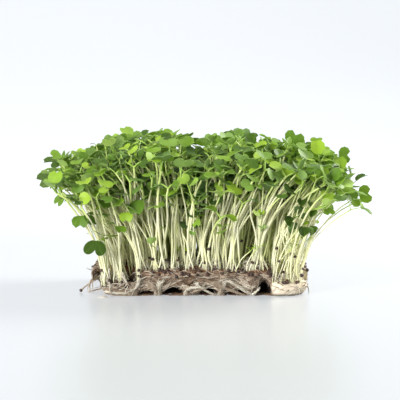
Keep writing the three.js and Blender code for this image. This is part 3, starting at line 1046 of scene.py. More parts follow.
# %% Extra seedlings
SEEDLINGS_EACH = 27
LATE_EACH = 2
CLUMPS = 7
CLUMP_SIZE = 1.3
CANDIDATES = 9
HEAD_FLATNESS = 1.7  # heads are wider than they are deep, so height counts for more between two heads
WAIST_X = 32
WALL_INSET = 2.2
MAT_ENDS = (-54, 50.4)
MAT_SPREAD = 1.06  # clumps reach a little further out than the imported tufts
ALONG = (-84, -76, -62, -52, -42, -30, -16, -12, -7, -2, 4, 25, 40, 58, 70, 80)
CROWN = (56, 66, 72, 73, 81, 83, 82, 79, 66, 72, 79, 78, 77, 73, 64, 50)
SKIRT = (60, 56, 46, 45, 45, 49, 56, 58, 58, 59, 59, 58, 56, 53, 51, 50)
FRONT_FALL = 9
DEPTH_INSIDE = 27
DEEP_HEAD_SHADE = 0.55  # painted shade: heads deep inside the canopy are given a darker tint
LEAF_RISE = 4.5  # the leaves end this far above the stem
HEAD_REACH = (-76, 69)
HEAD_SIZES = (0.75, 1.25)
TINTS = (0.12, 0.95)
LATE_SIZES = (0.35, 0.6)
LATE_TINTS = (0.65, 1)
LATE_HEIGHTS = (9, 34)


def mat_reach(x):
    """How far forward and back the mat reaches at x."""
    return MAT_HALF[1] - WALL_INSET - (3 if abs(x) < WAIST_X else 0.6)


def mat_height(x, y):
    """The height of the finished mat's skin."""
    hit = skin.ray_cast(Vector((x, y, 30)), Vector((0, 0, -1)))
    return hit[0].z if hit[0] else mat_top(x, y)


def within(value, low, high):
    return max(low, min(high, value))


def on_mat(x, y):
    """The same place, or the nearest one that is far enough inside the mat's edge."""
    x = within(x, MAT_ENDS[0] + WALL_INSET, MAT_ENDS[1] - WALL_INSET)
    return x, within(y, -mat_reach(x), mat_reach(x))


def clump_places(tuft, draw):
    places = []
    for count in range(CLUMPS):
        x = tuft["x"] * MAT_SPREAD + COLUMN_PITCH * 1.1 * (draw() - 0.5)
        places.append(on_mat(x, tuft["y"] * MAT_SPREAD + ROW_PITCH * 1.1 * (draw() - 0.5)))
    return places


def extra_foot(clump, draw):
    x, y = on_mat(clump[0] + draw.between(-1, 1) * CLUMP_SIZE, clump[1] + draw.between(-1, 1) * CLUMP_SIZE)
    return np.array([x, y, mat_height(x, y)])


def head_height(x, y, draw):
    """How high a stem ends: in the band between the crown line and the skirt line. Also how deep inside the
    canopy its head is, which darkens it as painted shade.
    """
    high = np.interp(x, ALONG, CROWN) - FRONT_FALL * (abs(y) / CANOPY_REACH[1]) ** 4 - LEAF_RISE
    at_rim = smoothstep(math.hypot(x / CANOPY_REACH[0], y / CANOPY_REACH[1]), 0.6, 1)
    low = high - DEPTH_INSIDE
    low += (np.interp(x, ALONG, SKIRT) - low) * at_rim
    deep = draw() ** 1.4
    return high - max(0, high - low) * deep, deep * (1 - at_rim)


def extra_seedling(tuft, clump, draw):
    foot = extra_foot(clump, draw)
    wander = 3 + (RIM_WANDER if tuft["on_rim"] else INNER_WANDER)
    x = foot[0] * SPREAD[0] + wander * (2 * draw() - 1)
    y = foot[1] * SPREAD[1] + wander * (2 * draw() - 1)
    x = within(x, HEAD_REACH[0] + 5 * draw(), HEAD_REACH[1] - 5 * draw())
    y = within(y, 4 * draw() - CANOPY_REACH[1], CANOPY_REACH[1] - 4 * draw())
    height, shade = head_height(x, y, draw)
    top = np.array([x, y, height])
    leaning = min(1, math.hypot(x / CANOPY_REACH[0], y / CANOPY_REACH[1]))
    nod = draw.between(0, 0.7) * (0.2 + 0.6 * leaning)
    head = head_frame(top, 2 * math.pi * draw(), nod)
    bend = (draw.between(0, 0.22), draw.between(0.52, 0.74))
    # painted shade: a head deep inside the canopy gets a lower tint
    tint = draw.between(*TINTS) - DEEP_HEAD_SHADE * shade
    size = draw.between(*HEAD_SIZES)
    return {"foot": foot, "top": top, "head": head, "size": size, "bend": bend, "tint": tint}


def late_seedling(clump, draw):
    """One that sprouted late: short, small-leaved and yellowish."""
    foot = extra_foot(clump, draw)
    height = draw.between(*LATE_HEIGHTS)
    top = foot + [draw.between(-5, 5) + 0.1 * foot[0], draw.between(-5, 5) + 0.1 * foot[1], height]
    head = head_frame(top, 2 * math.pi * draw(), draw.between(0.1, 0.7))
    return {"foot": foot, "top": top, "head": head, "size": draw.between(*LATE_SIZES), "late": True}


def add_extra_seedlings(tufts, draw):
    flat = np.array([1, 1, HEAD_FLATNESS])
    heads = [seedling["top"] * flat for tuft in tufts for seedling in tuft["seedlings"]]
    for tuft in tufts:
        clumps = clump_places(tuft, draw)
        for number in range(SEEDLINGS_EACH - len(tuft["seedlings"])):
            clump = clumps[number % CLUMPS]
            choices = [extra_seedling(tuft, clump, draw) for attempt in range(CANDIDATES)]
            standing = np.array(heads)
            room = [np.linalg.norm(standing - choice["top"] * flat, axis=1).min() for choice in choices]
            best = choices[int(np.argmax(room))]
            tuft["seedlings"].append(best)
            heads.append(best["top"] * flat)
        tuft["seedlings"] += [late_seedling(clumps[number], draw) for number in range(LATE_EACH)]


draw = Draw(4417)
add_extra_seedlings(tufts, draw)
print("seedlings in all:", sum(len(tuft["seedlings"]) for tuft in tufts))

# %% [markdown]
# ## One seed leaf
#
# A brassica's seed leaf is a rounded heart: it widens from its stalk, and its end has a shallow
# notch. Some have hardly a notch and are oval. It could be drawn as an outline and filled, but then
# it couldn't bend. A small grid bends well, so each leaf starts as one. Solidify gives it two sides
# while it is still flat. Then one side of the grid is drawn together at the stalk, and the rest is
# fanned out to the edge.

# %% Leaf templates
RADIUS_STEPS = 2
ANGLE_STEPS = 10
FAN = math.radians(92)
LEAF_THICKNESS = 0.34
BROAD_HEART = [0.58, 0.96, 1.02, 0.86, 0.58, 0.28]
HEART = [0.78, 0.98, 1.0, 0.88, 0.62, 0.28]  # the edge's distance from the stalk, from the notch round
OVAL = [1.14, 1.08, 0.88, 0.62, 0.4, 0.2]
TRUE_LEAF = [1.5, 0.98, 0.56, 0.4, 0.28, 0.2]
LEAF_LENGTH = 5.9
TRUE_LEAF_LENGTH = 4.2
FLAT_SIDES = 0.1


def leaf_place(u, v, edge, shape):
    """Where a point of the flat grid goes. u runs from the stalk out, v from side to side."""
    turn = 2 * v * FAN
    reach = np.polyval(edge, abs(turn))
    x = u * reach * math.cos(turn)
    y = u * reach * math.sin(turn)
    ripple = shape["ripple"] * u * u * math.sin(3 * turn + shape["phase"])
    z = shape["cup"] * (x * x + 1.2 * y * y) + shape["fold"] * abs(y) + shape["curl"] * x**3 + ripple
    return shape["length"] * Vector((x, y, z))


def leaf_template(name, outline, shape, steps=ANGLE_STEPS):
    """A leaf mesh. Its edge is the smooth curve through the outline's distances."""
    edge = np.polyfit(np.linspace(0, FAN, len(outline)), outline, len(outline) - 1)
    bm = bmesh.new()
    bmesh.ops.create_grid(bm, x_segments=RADIUS_STEPS, y_segments=steps, size=0.5)
    bmesh.ops.translate(bm, verts=bm.verts, vec=(0.5, 0, 0))
    bmesh.ops.solidify(bm, geom=bm.faces[:], thickness=FLAT_SIDES)
    uv = bm.loops.layers.uv.new("leaf")
    middle = sum(vert.co.z for vert in bm.verts) / len(bm.verts)
    for face in bm.faces:
        face.material_index = 1 if face.calc_center_median().z > middle + FLAT_SIDES / 3 else 2
        for loop in face.loops:
            loop[uv].uv = (loop.vert.co.x, loop.vert.co.y + 0.5)
    for vert in bm.verts:
        side = LEAF_THICKNESS / 2 if vert.co.z > middle else -LEAF_THICKNESS / 2
        place = leaf_place(vert.co.x, vert.co.y, edge, shape)
        thinner = 1 - 0.5 * vert.co.x
        vert.co = place + Vector((0, 0, side * thinner))
    bmesh.ops.remove_doubles(bm, verts=bm.verts, dist=1e-3)
    bmesh.ops.dissolve_degenerate(bm, edges=bm.edges, dist=1e-3)
    for edge in bm.edges:
        edge.smooth = edge.calc_face_angle(0) < 0.9
    mesh = bpy.data.meshes.new(name)
    bm.to_mesh(mesh)
    bm.free()
    return mesh


def leaf_shape(draw, length, cup, fold, curl, ripple):
    return {
        "length": length,
        "cup": draw.between(*cup),
        "fold": draw.between(*fold),
        "curl": draw.between(*curl),
        "ripple": ripple,
        "phase": draw.between(0, 6),
    }


def seed_leaf(number, draw):
    oval = draw() ** 2
    outline = [heart + (round_end - heart) * oval for heart, round_end in zip(HEART, OVAL)]
    outline[0] -= 0.16 * draw()
    shape = leaf_shape(draw, LEAF_LENGTH, (-0.25, 0.12), (0, 0.34), (-0.32, 0.05), draw.between(0, 0.08))
    return leaf_template(f"seed_leaf_{number}", outline, shape)


def true_leaf(number, draw):
    shape = leaf_shape(draw, TRUE_LEAF_LENGTH, (-0.1, 0.15), (0.1, 0.35), (-0.2, 0), 0.05)
    return leaf_template(f"true_leaf_{number}", TRUE_LEAF, shape)


def wilted_leaf(number, draw):
    shape = leaf_shape(draw, LEAF_LENGTH * 0.9, (0.5, 0.9), (0.5, 0.8), (-0.9, -0.5), 0.3)
    return leaf_template(f"wilted_leaf_{number}", OVAL, shape)


draw = Draw(911)
seed_leaves = [seed_leaf(number, draw) for number in range(14)]
true_leaves = [true_leaf(number, draw) for number in range(3)]
wilted_leaves = [wilted_leaf(number, draw) for number in range(3)]
broad_shape = {"length": LEAF_LENGTH, "cup": -0.12, "fold": 0.06, "curl": -0.12, "ripple": 0.03, "phase": 1}
broad_leaves = [leaf_template("broad_leaf", BROAD_HEART, broad_shape, 24)]
print("faces in a leaf:", len(seed_leaves[0].polygons))


# %% [markdown]
# A head is two seed leaves on their stalks, which part like a Y from the stem's end. The second leaf
# is smaller. Some heads are still half folded, and a few have their first true leaves between the
# two, narrow and pointed.


# %% A head's leaves and stalks
FOLDED_SHARE = 0.2
TRUE_LEAF_SHARE = 0.18
STALK = 2.2
FOLDED = {"out": (1.2, 2.2), "lift": (3.2, 4.8), "pitch": (0.8, 1.3)}  # how its leaves stand
OPEN = {"out": (2.4, 4.2), "lift": (1.4, 3.2), "pitch": (-0.3, 0.5)}
FIRST_LEAF = (0.95, 1.1)
SECOND_LEAF = (0.68, 0.95)
TRUE_LEAF_SIZES = (0.7, 1.1)
FLAT_FROM = 73  # above this height the leaves stand no steeper, so that the canopy's top stays even


def pick(choices, draw):
    return choices[int(draw() * len(choices))]


def leaf_frame(end, turn, pitch, roll, size):
    turns = Matrix.Rotation(turn, 4, "Z") @ Matrix.Rotation(-pitch, 4, "Y") @ Matrix.Rotation(roll, 4, "X")
    return Matrix.Translation(end) @ turns @ Matrix.Diagonal((size, size, size, 1))


def head_matrix(seedling):
    turns = Matrix([list(row) for row in seedling["head"]]).to_4x4()
    return Matrix.Translation(seedling["top"]) @ turns


def measured_leaves(seedling, kind, draw):
    """Leaves whose turn, pitch, roll in degrees and share of the size are given."""
    leaves = []
    for turn, pitch, roll, share in seedling["leaves"]:
        turn, pitch, roll = math.radians(turn), math.radians(pitch), math.radians(roll)
        out = Vector((math.cos(turn), math.sin(turn), math.sin(pitch) + 0.4))
        end = out * STALK * seedling["size"] * share
        leaves.append((pick(kind, draw), leaf_frame(end, turn, pitch, roll, seedling["size"] * share), end))
    return leaves


def head_leaves(seedling, draw):
    """[(template, frame in the head, stalk's end in the head)] of one head."""
    size = seedling["size"]
    kind = seedling.get("kind", seed_leaves)
    if "leaves" in seedling:
        return measured_leaves(seedling, kind, draw)
    leaves = []
    steep = 1 - 0.8 * smoothstep(seedling["top"][2], FLAT_FROM, FLAT_FROM + 5)
    habit = FOLDED if draw() < FOLDED_SHARE else OPEN
    for side, share in ((0, draw.between(*FIRST_LEAF)), (math.pi, draw.between(*SECOND_LEAF))):
        out = draw.between(*habit["out"]) * size
        lift = draw.between(*habit["lift"]) * size
        pitch = steep * draw.between(*habit["pitch"])
        turn = side + draw.between(-0.4, 0.4)
        end = Vector((out * math.cos(turn), out * math.sin(turn), lift))
        frame_here = leaf_frame(end, turn, pitch, draw.between(-0.6, 0.6), size * share)
        leaves.append((pick(kind, draw), frame_here, end))
    if draw() < TRUE_LEAF_SHARE:
        for side in (math.pi / 2, -math.pi / 2):
            turn = side + draw.between(-0.5, 0.5)
            end = Vector((0.8 * math.cos(turn), 0.8 * math.sin(turn), 1.6)) * size
            pitch = steep * draw.between(0.3, 1.1)
            frame_here = leaf_frame(end, turn, pitch, 0, size * draw.between(*TRUE_LEAF_SIZES))
            leaves.append((pick(true_leaves, draw), frame_here, end))
    return leaves


# %% [markdown]
# Some heads are landmarks that make this block itself: a broad dark leaf that hangs low at the left
# end, a spray at the right, a sprout that stands above the rest, and a few wilted heads. Each was
# measured, with the way that every leaf points. A turn of 0 points right and -90 to the front.


# %% Landmark heads
LANDMARKS_PACKED = [  # tuft, which of its seedlings, size, tint, leaves, kind
    (0, 0, 1.25, 0.06, [(180, -80, -110, 1.1), (150, 35, 20, 0.5)], broad_leaves),
    (0, 1, 1.0, 0.3, [(178, -14, 50, 1.35), (205, -55, 0, 0.85), (20, 15, 0, 0.8)], seed_leaves),
    (0, 2, 1.1, 0.26, [(-100, -50, 0, 1.0), (-30, -35, 0, 1.0)], seed_leaves),
    (7, 0, 0.9, 0.3, [(-25, -35, 0, 0.8), (160, 60, 0, 0.45)], seed_leaves),
    (6, 0, 1.0, 0.6, [(-4, 14, 78, 1.15), (-80, -50, 0, 0.7), (40, -30, 0, 0.7), (170, 25, 0, 0.6)],
     seed_leaves),
    (19, 0, 1.0, 0.6, [(70, 45, 0, 0.8), (160, 30, 0, 0.5)], seed_leaves),
]
LANDMARKS = [  # tuft, place of the stem's end, size, tint, leaves, kind
    (1, (-27, -36.5, 25), 0.8, 0.72, [(-80, 55, 10, 0.9)], seed_leaves),
    (7, (-56, -18, 76), 0.7, 0.4, [(5, 4, 0, 0.6), (178, 8, 0, 0.55)], seed_leaves),
    (7, (-73, -28, 66.5), 0.95, 0.24, [(178, 14, 25, 1.1), (-20, 40, 0, 0.9)], seed_leaves),
    (7, (-69, -30, 63), 1.0, 0.7, [(-140, 60, 0, 0.9), (-30, 50, 0, 1.0)], seed_leaves),
    (8, (-45, -26, 71), 1.15, 0.35, [(-100, 78, 0, 1.1), (10, 20, 0, 0.8)], broad_leaves),
    (0, (-54.5, -38, 41.5), 0.9, 0.4, [(185, 0, 20, 0.8), (-10, -10, 0, 1.0)], seed_leaves),
    (0, (-54.5, -38, 48.5), 1.0, 0.3, [(-165, -10, 20, 0.9), (-30, -30, 0, 1.0)], seed_leaves),
    (1, (-42, -38, 46), 1.1, 0.5, [(175, 8, 30, 1.0), (-25, -15, 0, 1.2)], seed_leaves),
    (1, (-38.5, -39, 43.5), 0.9, 0.8, [(-100, -50, 0, 1.0), (15, 30, 0, 0.8)], seed_leaves),
    (2, (-31, -39, 50), 1.1, 0.34, [(-125, -55, 0, 1.2), (5, 5, 20, 1.1)], seed_leaves),
    (6, (55.5, -42, 67), 1.0, 0.9, [(-75, -60, 0, 1.4), (150, 30, 0, 0.7)], seed_leaves),
    (12, (34, -10, 76.5), 0.9, 0.5, [(178, 50, 0, 0.9), (20, 5, 0, 0.8)], seed_leaves),
    (6, (61, -37, 45), 0.8, 0.45, [(-70, -45, 0, 0.9), (10, 20, 0, 0.5)], seed_leaves),
    (6, (65, -36, 52), 0.8, 0.6, [(-20, 10, 30, 0.9), (190, 35, 0, 0.8)], seed_leaves),
    (13, (67, -14, 69.5), 0.9, 0.5, [(-4, 2, 75, 1.2), (170, -20, 0, 0.8)], seed_leaves),
    (6, (69, -30, 61), 0.9, 0.85, [(100, 80, 0, 1.2), (20, -10, 0, 0.7)], seed_leaves),
    (6, (71, -32, 53), 0.9, 0.4, [(10, 15, 0, 1.0), (-120, -20, 0, 0.8)], seed_leaves),
    (13, (78, -22, 47), 0.8, 0.65, [(-30, -50, 0, 0.8), (60, 10, 0, 0.8), (-150, -20, 0, 0.6)],
     seed_leaves),
    (6, (48, -39, 50), 0.8, 0.02, [(-90, -50, 0, 1.0), (0, -60, 0, 1.0)], wilted_leaves),
    (6, (51, -38, 45), 0.7, 0.06, [(-60, -70, 0, 1.0), (170, -50, 0, 1.0)], wilted_leaves),
    (6, (45, -39, 41), 0.8, 0.04, [(-120, -60, 0, 1.1), (10, -40, 0, 0.9)], wilted_leaves),
    (6, (49, -39, 36), 1.0, 0.05, [(-90, -50, 0, 1.0), (150, -40, 0, 1.0), (10, -65, 30, 0.8)],
     wilted_leaves),
    (6, (47, -36, 31), 0.42, 0.98, [(0, 20, 0, 1.0), (180, 30, 0, 1.0)], seed_leaves),
    (6, (44, -37, 25), 0.4, 0.98, [(30, 30, 0, 1.0), (200, 20, 0, 1.0)], seed_leaves),
    (6, (51, -35, 28), 0.42, 0.9, [(-20, 30, 0, 1.0), (160, 40, 0, 1.0)], seed_leaves),
    (4, (27, -37.5, 25), 0.45, 0.98, [(-10, 30, 0, 1.0), (190, 25, 0, 1.0)], seed_leaves),
    (4, (23, -37, 23), 0.4, 0.9, [(20, 45, 0, 1.0), (170, 50, 0, 1.0)], seed_leaves),
    (0, (-44, -38, 36), 0.9, 0.35, [(-60, -30, 0, 0.9), (170, 10, 0, 0.7)], seed_leaves),
]


FOOT_SHARE = 0.75  # a stem's foot is this much nearer the block's middle than its end


def add_landmarks(tufts, draw):
    for number, which, size, tint, leaves, kind in LANDMARKS_PACKED:
        seedling = tufts[number]["seedlings"][which]
        seedling.update(size=size, tint=tint, leaves=leaves, kind=kind, head=np.eye(3))
    for number, place, size, tint, leaves, kind in LANDMARKS:
        x, y = on_mat(place[0] * FOOT_SHARE + draw.between(-2, 2), place[1])
        seedling = {"foot": np.array([x, y, mat_height(x, y)]), "top": np.array(place, float), "thin": True}
        seedling.update(size=size, tint=tint, leaves=leaves, kind=kind, head=np.eye(3))
        tufts[number]["seedlings"].append(seedling)


add_landmarks(tufts, Draw(271))
print("landmark heads:", len(LANDMARKS_PACKED) + len(LANDMARKS))

# %% [markdown]
# A stem isn't straight. It leans out with its tuft and sways on the way, so neighbours cross each
# other. Many start with a short bow, because the sprout came out of its seed sideways.


# %% Stems and stalks
STEM_SHARES = [0, 0.03, 0.07, 0.13, 0.22, 0.33, 0.45, 0.58, 0.72, 0.86, 1]  # closer together at the foot
STEM_SIDES = 6
STEM_RADIUS = 0.5
ROOTED = 1.6  # how deep a stem starts in the mat
SWAY = 3.6
RIPPLE = 0.9
BOW = 3.2
BOWED_SHARE = 0.45
SMALL_BOW = 0.7
BOW_HEIGHT = 4  # how high up a stem its bow is felt
FULL_GROWN = 50
BUNDLES = [  # stems that cling together: place, height, how far off their feet are, and how far they lean
    ((27.5, -31.5), 23, 7, 0.1),
    ((-25.5, -31), 19, 4.5, 0),
    ((-1.5, -31), 24, 3, 0),
    ((6, -30), 22, 3.5, 0),
    ((13.5, -31), 23, 3, 0.1),
    ((-42, -30), 30, 4, -0.2),
    ((-13, -28), 34, 4, 0),
    ((38, -31), 30, 4, 0.1),
    ((-34, -29), 24, 3, -0.1),
    ((54.5, -30), 38, 9, 0.17),
]
CLING = 0.8
CLING_BELOW = 6
CLING_ABOVE = 17
THIN_BEYOND = 62  # stems that lean out this far at the right end are thin
EDGE_DEPTH = (9, 12)
THICKNESSES = (0.72, 1.35)
THIN_SHARE = 0.65
EDGE_GREEN = 0.12  # how green a stem is near its foot
# painted shade: inner stems start greener and darker at the foot
INNER_SHADE_GREEN = 0.34
# painted light: inner stems on the left are less green, so paler
LEFT_PAINTED_LIGHT = 0.16
LEFT_STEMS = (20, 34)
TOP_GREEN = 0.68
STALK_GREENS = [0.68, 0.75, 0.83, 0.9]
STALK_TAPER = [0.85, 0.7, 0.62, 0.4]


def near_edge(foot):
    return any(abs(foot[axis]) > MAT_HALF[axis] - EDGE_DEPTH[axis] for axis in (0, 1))


def aside(draw, amount):
    return np.array([draw.between(-1, 1), draw.between(-1, 1), 0]) * amount


def stem_path(seedling, draw):
    height = seedling["top"][2] - seedling["foot"][2]
    grown = min(1, height / FULL_GROWN)
    sway = aside(draw, SWAY * grown)
    ripple = aside(draw, RIPPLE * grown)
    bow = aside(draw, BOW if draw() < BOWED_SHARE else SMALL_BOW) * [1, 0.4, 1]
    bundle = next((bundle for bundle in BUNDLES if in_bundle(seedling["foot"], bundle)), None)
    path = [Vector(seedling["foot"] - bow * 0.7 - [0, 0, ROOTED])]
    for share in STEM_SHARES[1:]:
        low = math.exp(-share * height / BOW_HEIGHT)
        moved = stem_point(seedling, share) - bow * low
        moved = moved + sway * math.sin(math.pi * share) + ripple * math.sin(3 * math.pi * share)
        path.append(cling(Vector(moved), bundle) if bundle else Vector(moved))
    return path


def in_bundle(foot, bundle):
    (x, y), height, reach, lean = bundle
    return math.hypot(foot[0] - x, foot[1] - y) < reach


def cling(point, bundle):
    """Draws a point of a stem towards its bundle. It holds on for longer above than below."""
    (x, y), height, reach, lean = bundle
    away = point.z - height
    grip = CLING * math.exp(-(away / (CLING_ABOVE if away > 0 else CLING_BELOW)) ** 2)
    return point.lerp(Vector((x + lean * away, y, point.z)), grip)


def stem_radii(thick):
    return [thick * (0.66 + 0.34 * min(1, 5 * share)) * (1 - 0.15 * share) for share in STEM_SHARES]


def stalk_path(matrix, start, end):
    """From inside the stem's end, out and up to the leaf."""
    bend = matrix @ Vector((end.x * 0.35, end.y * 0.35, end.z * 0.5))
    tip = matrix @ (end * 1.08)
    return [start.lerp(bend, share).lerp(bend.lerp(tip, share), share) for share in (0, 0.35, 0.7, 1)]


def foot_green_and_painted_light(foot):
    """Stems at the edge are nearly white below. Those inside are greener, which is painted shade for the
    dark inside the crowd, and less so on the left, which is painted light.
    """
    if near_edge(foot):
        return EDGE_GREEN
    return INNER_SHADE_GREEN - LEFT_PAINTED_LIGHT * smoothstep(-foot[0], *LEFT_STEMS)


def grow(tuft, draw):
    """A tuft's stems and stalks as strands, how green each of their points is, and its leaves."""
    strands, greens, leaves = [], [], []
    for seedling in tuft["seedlings"]:
        late = seedling.get("late", False)
        thin = late or "thin" in seedling or seedling["top"][0] > THIN_BEYOND
        thick = STEM_RADIUS * (THIN_SHARE if thin else draw.between(*THICKNESSES))
        path = stem_path(seedling, draw)
        strands.append((path, stem_radii(thick), 0))
        start = draw.between(0.45, 0.8)
        low = foot_green_and_painted_light(seedling["foot"])
        greens.append([low + (TOP_GREEN - low) * smoothstep(share, start, 1.08) for share in STEM_SHARES])
        matrix = head_matrix(seedling)
        tint = seedling.get("tint", draw.between(*(LATE_TINTS if late else TINTS)))
        # painted sheen: how much of the pale blue-green this seedling's leaves get
        painted_sheen = 0 if "leaves" in seedling else draw() ** 2
        for template, place, end in head_leaves(seedling, draw):
            stalk = stalk_path(matrix, path[-1].lerp(path[-2], 0.12), end)
            strands.append((stalk, [thick * share for share in STALK_TAPER], 0))
            greens.append(STALK_GREENS)
            leaves.append((template, matrix @ place, tint + draw.between(-0.12, 0.12), painted_sheen * draw() ** 2))
    return strands, greens, leaves


# %% Build every tuft
def tuft_mesh(strands, greens, leaves):
    bm = bmesh.new()
    for name in ("tint", "painted_sheen", "green"):
        bm.verts.layers.float.new(name)
    bm.loops.layers.uv.new("leaf")
    bm.from_mesh(tubes(strands, STEM_SIDES, [stem], greens))
    for template, place, tint, painted_sheen in leaves:
        first = len(bm.verts)
        bm.from_mesh(template)
        bm.verts.ensure_lookup_table()
        added = bm.verts[first:]
        bmesh.ops.transform(bm, matrix=place, verts=added)
        tints, painted_sheens = bm.verts.layers.float["tint"], bm.verts.layers.float["painted_sheen"]
        for vert in added:
            vert[tints] = tint
            vert[painted_sheens] = painted_sheen
    return bm


draw = Draw(1583)
faces = 0
for number, tuft in enumerate(tufts, 1):
    strands, greens, leaves = grow(tuft, draw)
    tuft["stems"] = [strand[0] for strand in strands if len(strand[0]) == len(STEM_SHARES)]
    piece = mesh_object(f"seedlings_{number:02d}", tuft_mesh(strands, greens, leaves))
    for material in (stem, leaf_upper, leaf_under):
        piece.data.materials.append(material)
    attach(piece, "root")
    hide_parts(f"tuft_{number:02d}")
    faces += len(piece.data.polygons)
print("faces in all tufts:", faces)

# %% [markdown]
# ## Seed coats
#
# The brown skins of the seeds are everywhere: pressed into the mat's rim, lying between the stems,
# and carried up on a stem or a leaf. Each is a small ball, pressed a little flat and dented.


# %% Seed coats
SEED_RADIUS = 1.05
RIM_SEEDS = 110
STEM_SEEDS = 50
SEEN_SEEDS = [  # seeds that stand out at the front: place along the block and height
    (-47.2, 30.9), (-52.8, 14), (-54.2, 12.3), (-55.7, 10.9), (-47.4, 8.2), (-39.4, 8.2), (-38.3, 7.4),
    (-34.3, 8.2), (-33.8, 13.6), (-26.4, 12.1), (-23, 12.9), (-20.5, 18.3), (-13.5, 17.3), (-13, 14.4),
    (-14.3, 9.9), (-27.3, 29.2), (-28.3, 18.7), (0.8, 23.4), (4.5, 15.1), (20.9, 27.2), (20.3, 12),
    (25.5, 9.7), (32.9, 10.2), (36.9, 23), (37, 19), (38.9, 12.2), (37.9, 7.2), (41.6, 7.4), (43.7, 22.5),
    (45.4, 19.2), (48.2, 7), (50.1, 9.5), (52.8, 13.2),
]
FRONT_ROW = -22
SEED_LENGTHS = (0.78, 1.08)
SEED_WIDTHS = (0.8, 1)
SEED_DEPTHS = (0.7, 0.95)
DENT = 0.14


def add_seed(bm, place, draw):
    size = SEED_RADIUS * draw.between(*SEED_LENGTHS)
    turns = Matrix.Rotation(draw.between(0, 6), 4, "Z") @ Matrix.Rotation(draw.between(0, 3), 4, "X")
    scale = Matrix.Diagonal((size, size * draw.between(*SEED_WIDTHS), size * draw.between(*SEED_DEPTHS), 1))
    matrix = Matrix.Translation(place) @ turns @ scale
    made = bmesh.ops.create_uvsphere(bm, u_segments=8, v_segments=6, radius=1, matrix=matrix)
    for vert in made["verts"]:
        vert.co += (vert.co - Vector(place)) * DENT * noise.noise(vert.co * 1.1)


def seen_place(x, z, front_points):
    """Where a seed is that shows at the front: on the mat's wall, or on the stem that is nearest."""
    hit = skin.ray_cast(Vector((x, -80, z)), Vector((0, 1, 0)))
    if hit[0] and hit[0].y < FRONT_ROW:
        return hit[0] + Vector((0, -0.5, 0))
    gaps = np.hypot(front_points[:, 0] - x, front_points[:, 2] - z) + 0.15 * (front_points[:, 1] + 35)
    x, y, z = front_points[int(np.argmin(gaps))]
    return Vector((x, y - SEED_RADIUS - 0.2, z))


def seed_places(draw):
    front_points = np.array([point for tuft in tufts for stem_path in tuft["stems"] for point in stem_path])
    front_points = front_points[front_points[:, 1] < FRONT_ROW]
    places = [seen_place(x, z, front_points) for x, z in SEEN_SEEDS]
    for count in range(RIM_SEEDS):
        x, y, z = wall_start(draw)
        inwards = draw.between(0.72, 0.97)
        above = Vector((x * inwards, y * inwards, draw.between(11, 16)))
        place, normal, *rest = skin.find_nearest(above)
        places.append(place + normal * SEED_RADIUS * 0.5)
    for count in range(STEM_SEEDS):
        path = pick(pick(tufts, draw)["stems"], draw)
        step = 1 + int(draw() * 5)
        places.append(path[step] + Vector(aside(draw, 1)).normalized() * (SEED_RADIUS + 0.35))
    return places


def seed_piece(name, places, draw):
    bm = bmesh.new()
    for place in places:
        add_seed(bm, place, draw)
    piece = mesh_object(name, bm)
    piece.data.materials.append(seed_coat)
    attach(piece, "root")
    print(name, "coats:", len(places))


draw = Draw(6007)
seed_piece("seed_coats", seed_places(draw), draw)

# %% [markdown]
# ## Root hairs
#
# Where a stem leaves the mat, fine white hairs stand round its foot like fluff. They only show near
# the mat's edges, so only the stems there get them.

# %% Root hairs
HAIRS_EACH = 7
HAIR_RADII = [0.09, 0.08, 0.05]


def root_hairs(draw):
    strands = []
    for tuft in tufts:
        for seedling in tuft["seedlings"]:
            if not near_edge(seedling["foot"]):
                continue
            foot = Vector(seedling["foot"])
            for count in range(HAIRS_EACH):
                turn = draw.between(0, 2 * math.pi)
                out = Vector((math.cos(turn), math.sin(turn), 0)) * draw.between(1, 3.2)
                start = foot + Vector((0, 0, draw.between(0.2, 5)))
                middle = start + out * 0.5 + Vector((0, 0, draw.between(-0.5, 0.8)))
                tip = start + out + Vector((0, 0, draw.between(-2.5, 0.6)))
                strands.append(([start, middle, tip], HAIR_RADII, 0))
    return strands


draw = Draw(3109)
tube_piece("root_hairs", root_hairs(draw), 4, [root_white])

# %% [markdown]
# ## The loose sprout
#
# A sprouted seed has come out of the mat and leans on its left rim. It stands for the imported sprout.

# %% Loose sprout
SPROUT_LOW = (-63.8, -22, 1.05)
SPROUT_HIGH = (-55.2, -21, 7.1)
SPROUT_RADII = [0.42, 0.4, 0.38, 0.36, 0.36, 0.38, 0.42, 0.45]


def loose_sprout(draw):
    low, high = Vector(SPROUT_LOW), Vector(SPROUT_HIGH)
    bend = low.lerp(high, 0.5) + Vector((-0.5, 0, 0.7))
    path = smooth_path([low, bend, high], len(SPROUT_RADII))
    bm = bmesh.new()
    bm.from_mesh(tubes([(path, SPROUT_RADII, 1)], 8, [seed_coat, root_tan]))
    for place in (SPROUT_LOW, SPROUT_HIGH):
        add_seed(bm, place, draw)
    return bm


sprout = mesh_object("loose_sprout", loose_sprout(draw))
sprout.data.materials.append(seed_coat)
sprout.data.materials.append(root_tan)
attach(sprout, "root")
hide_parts("stray_sprout")

# %% [markdown]
# ## Table and light
#
# The block stands on a white sweep that is a table in front and a wall behind, so no horizon shows.
# One large light comes from the upper right, behind the block, and makes the leaves glow. Another at
# the front left and the white world fill its shade. The sweep gives light of its own, as a light
# table does, so the block's shadow on it is faint. It gives less near the block than at the wall.


# %% Table
TABLE_GLOW = 0.45
WALL_GLOW = 0.8
GLOW_GROWS = (0.2, 1.3)  # metres behind the block's middle, as all sizes of the sweep are in metres
SWEEP_HALF = (3, 2.2)
WALL_FROM = 0.9
WALL_BEND = 0.8


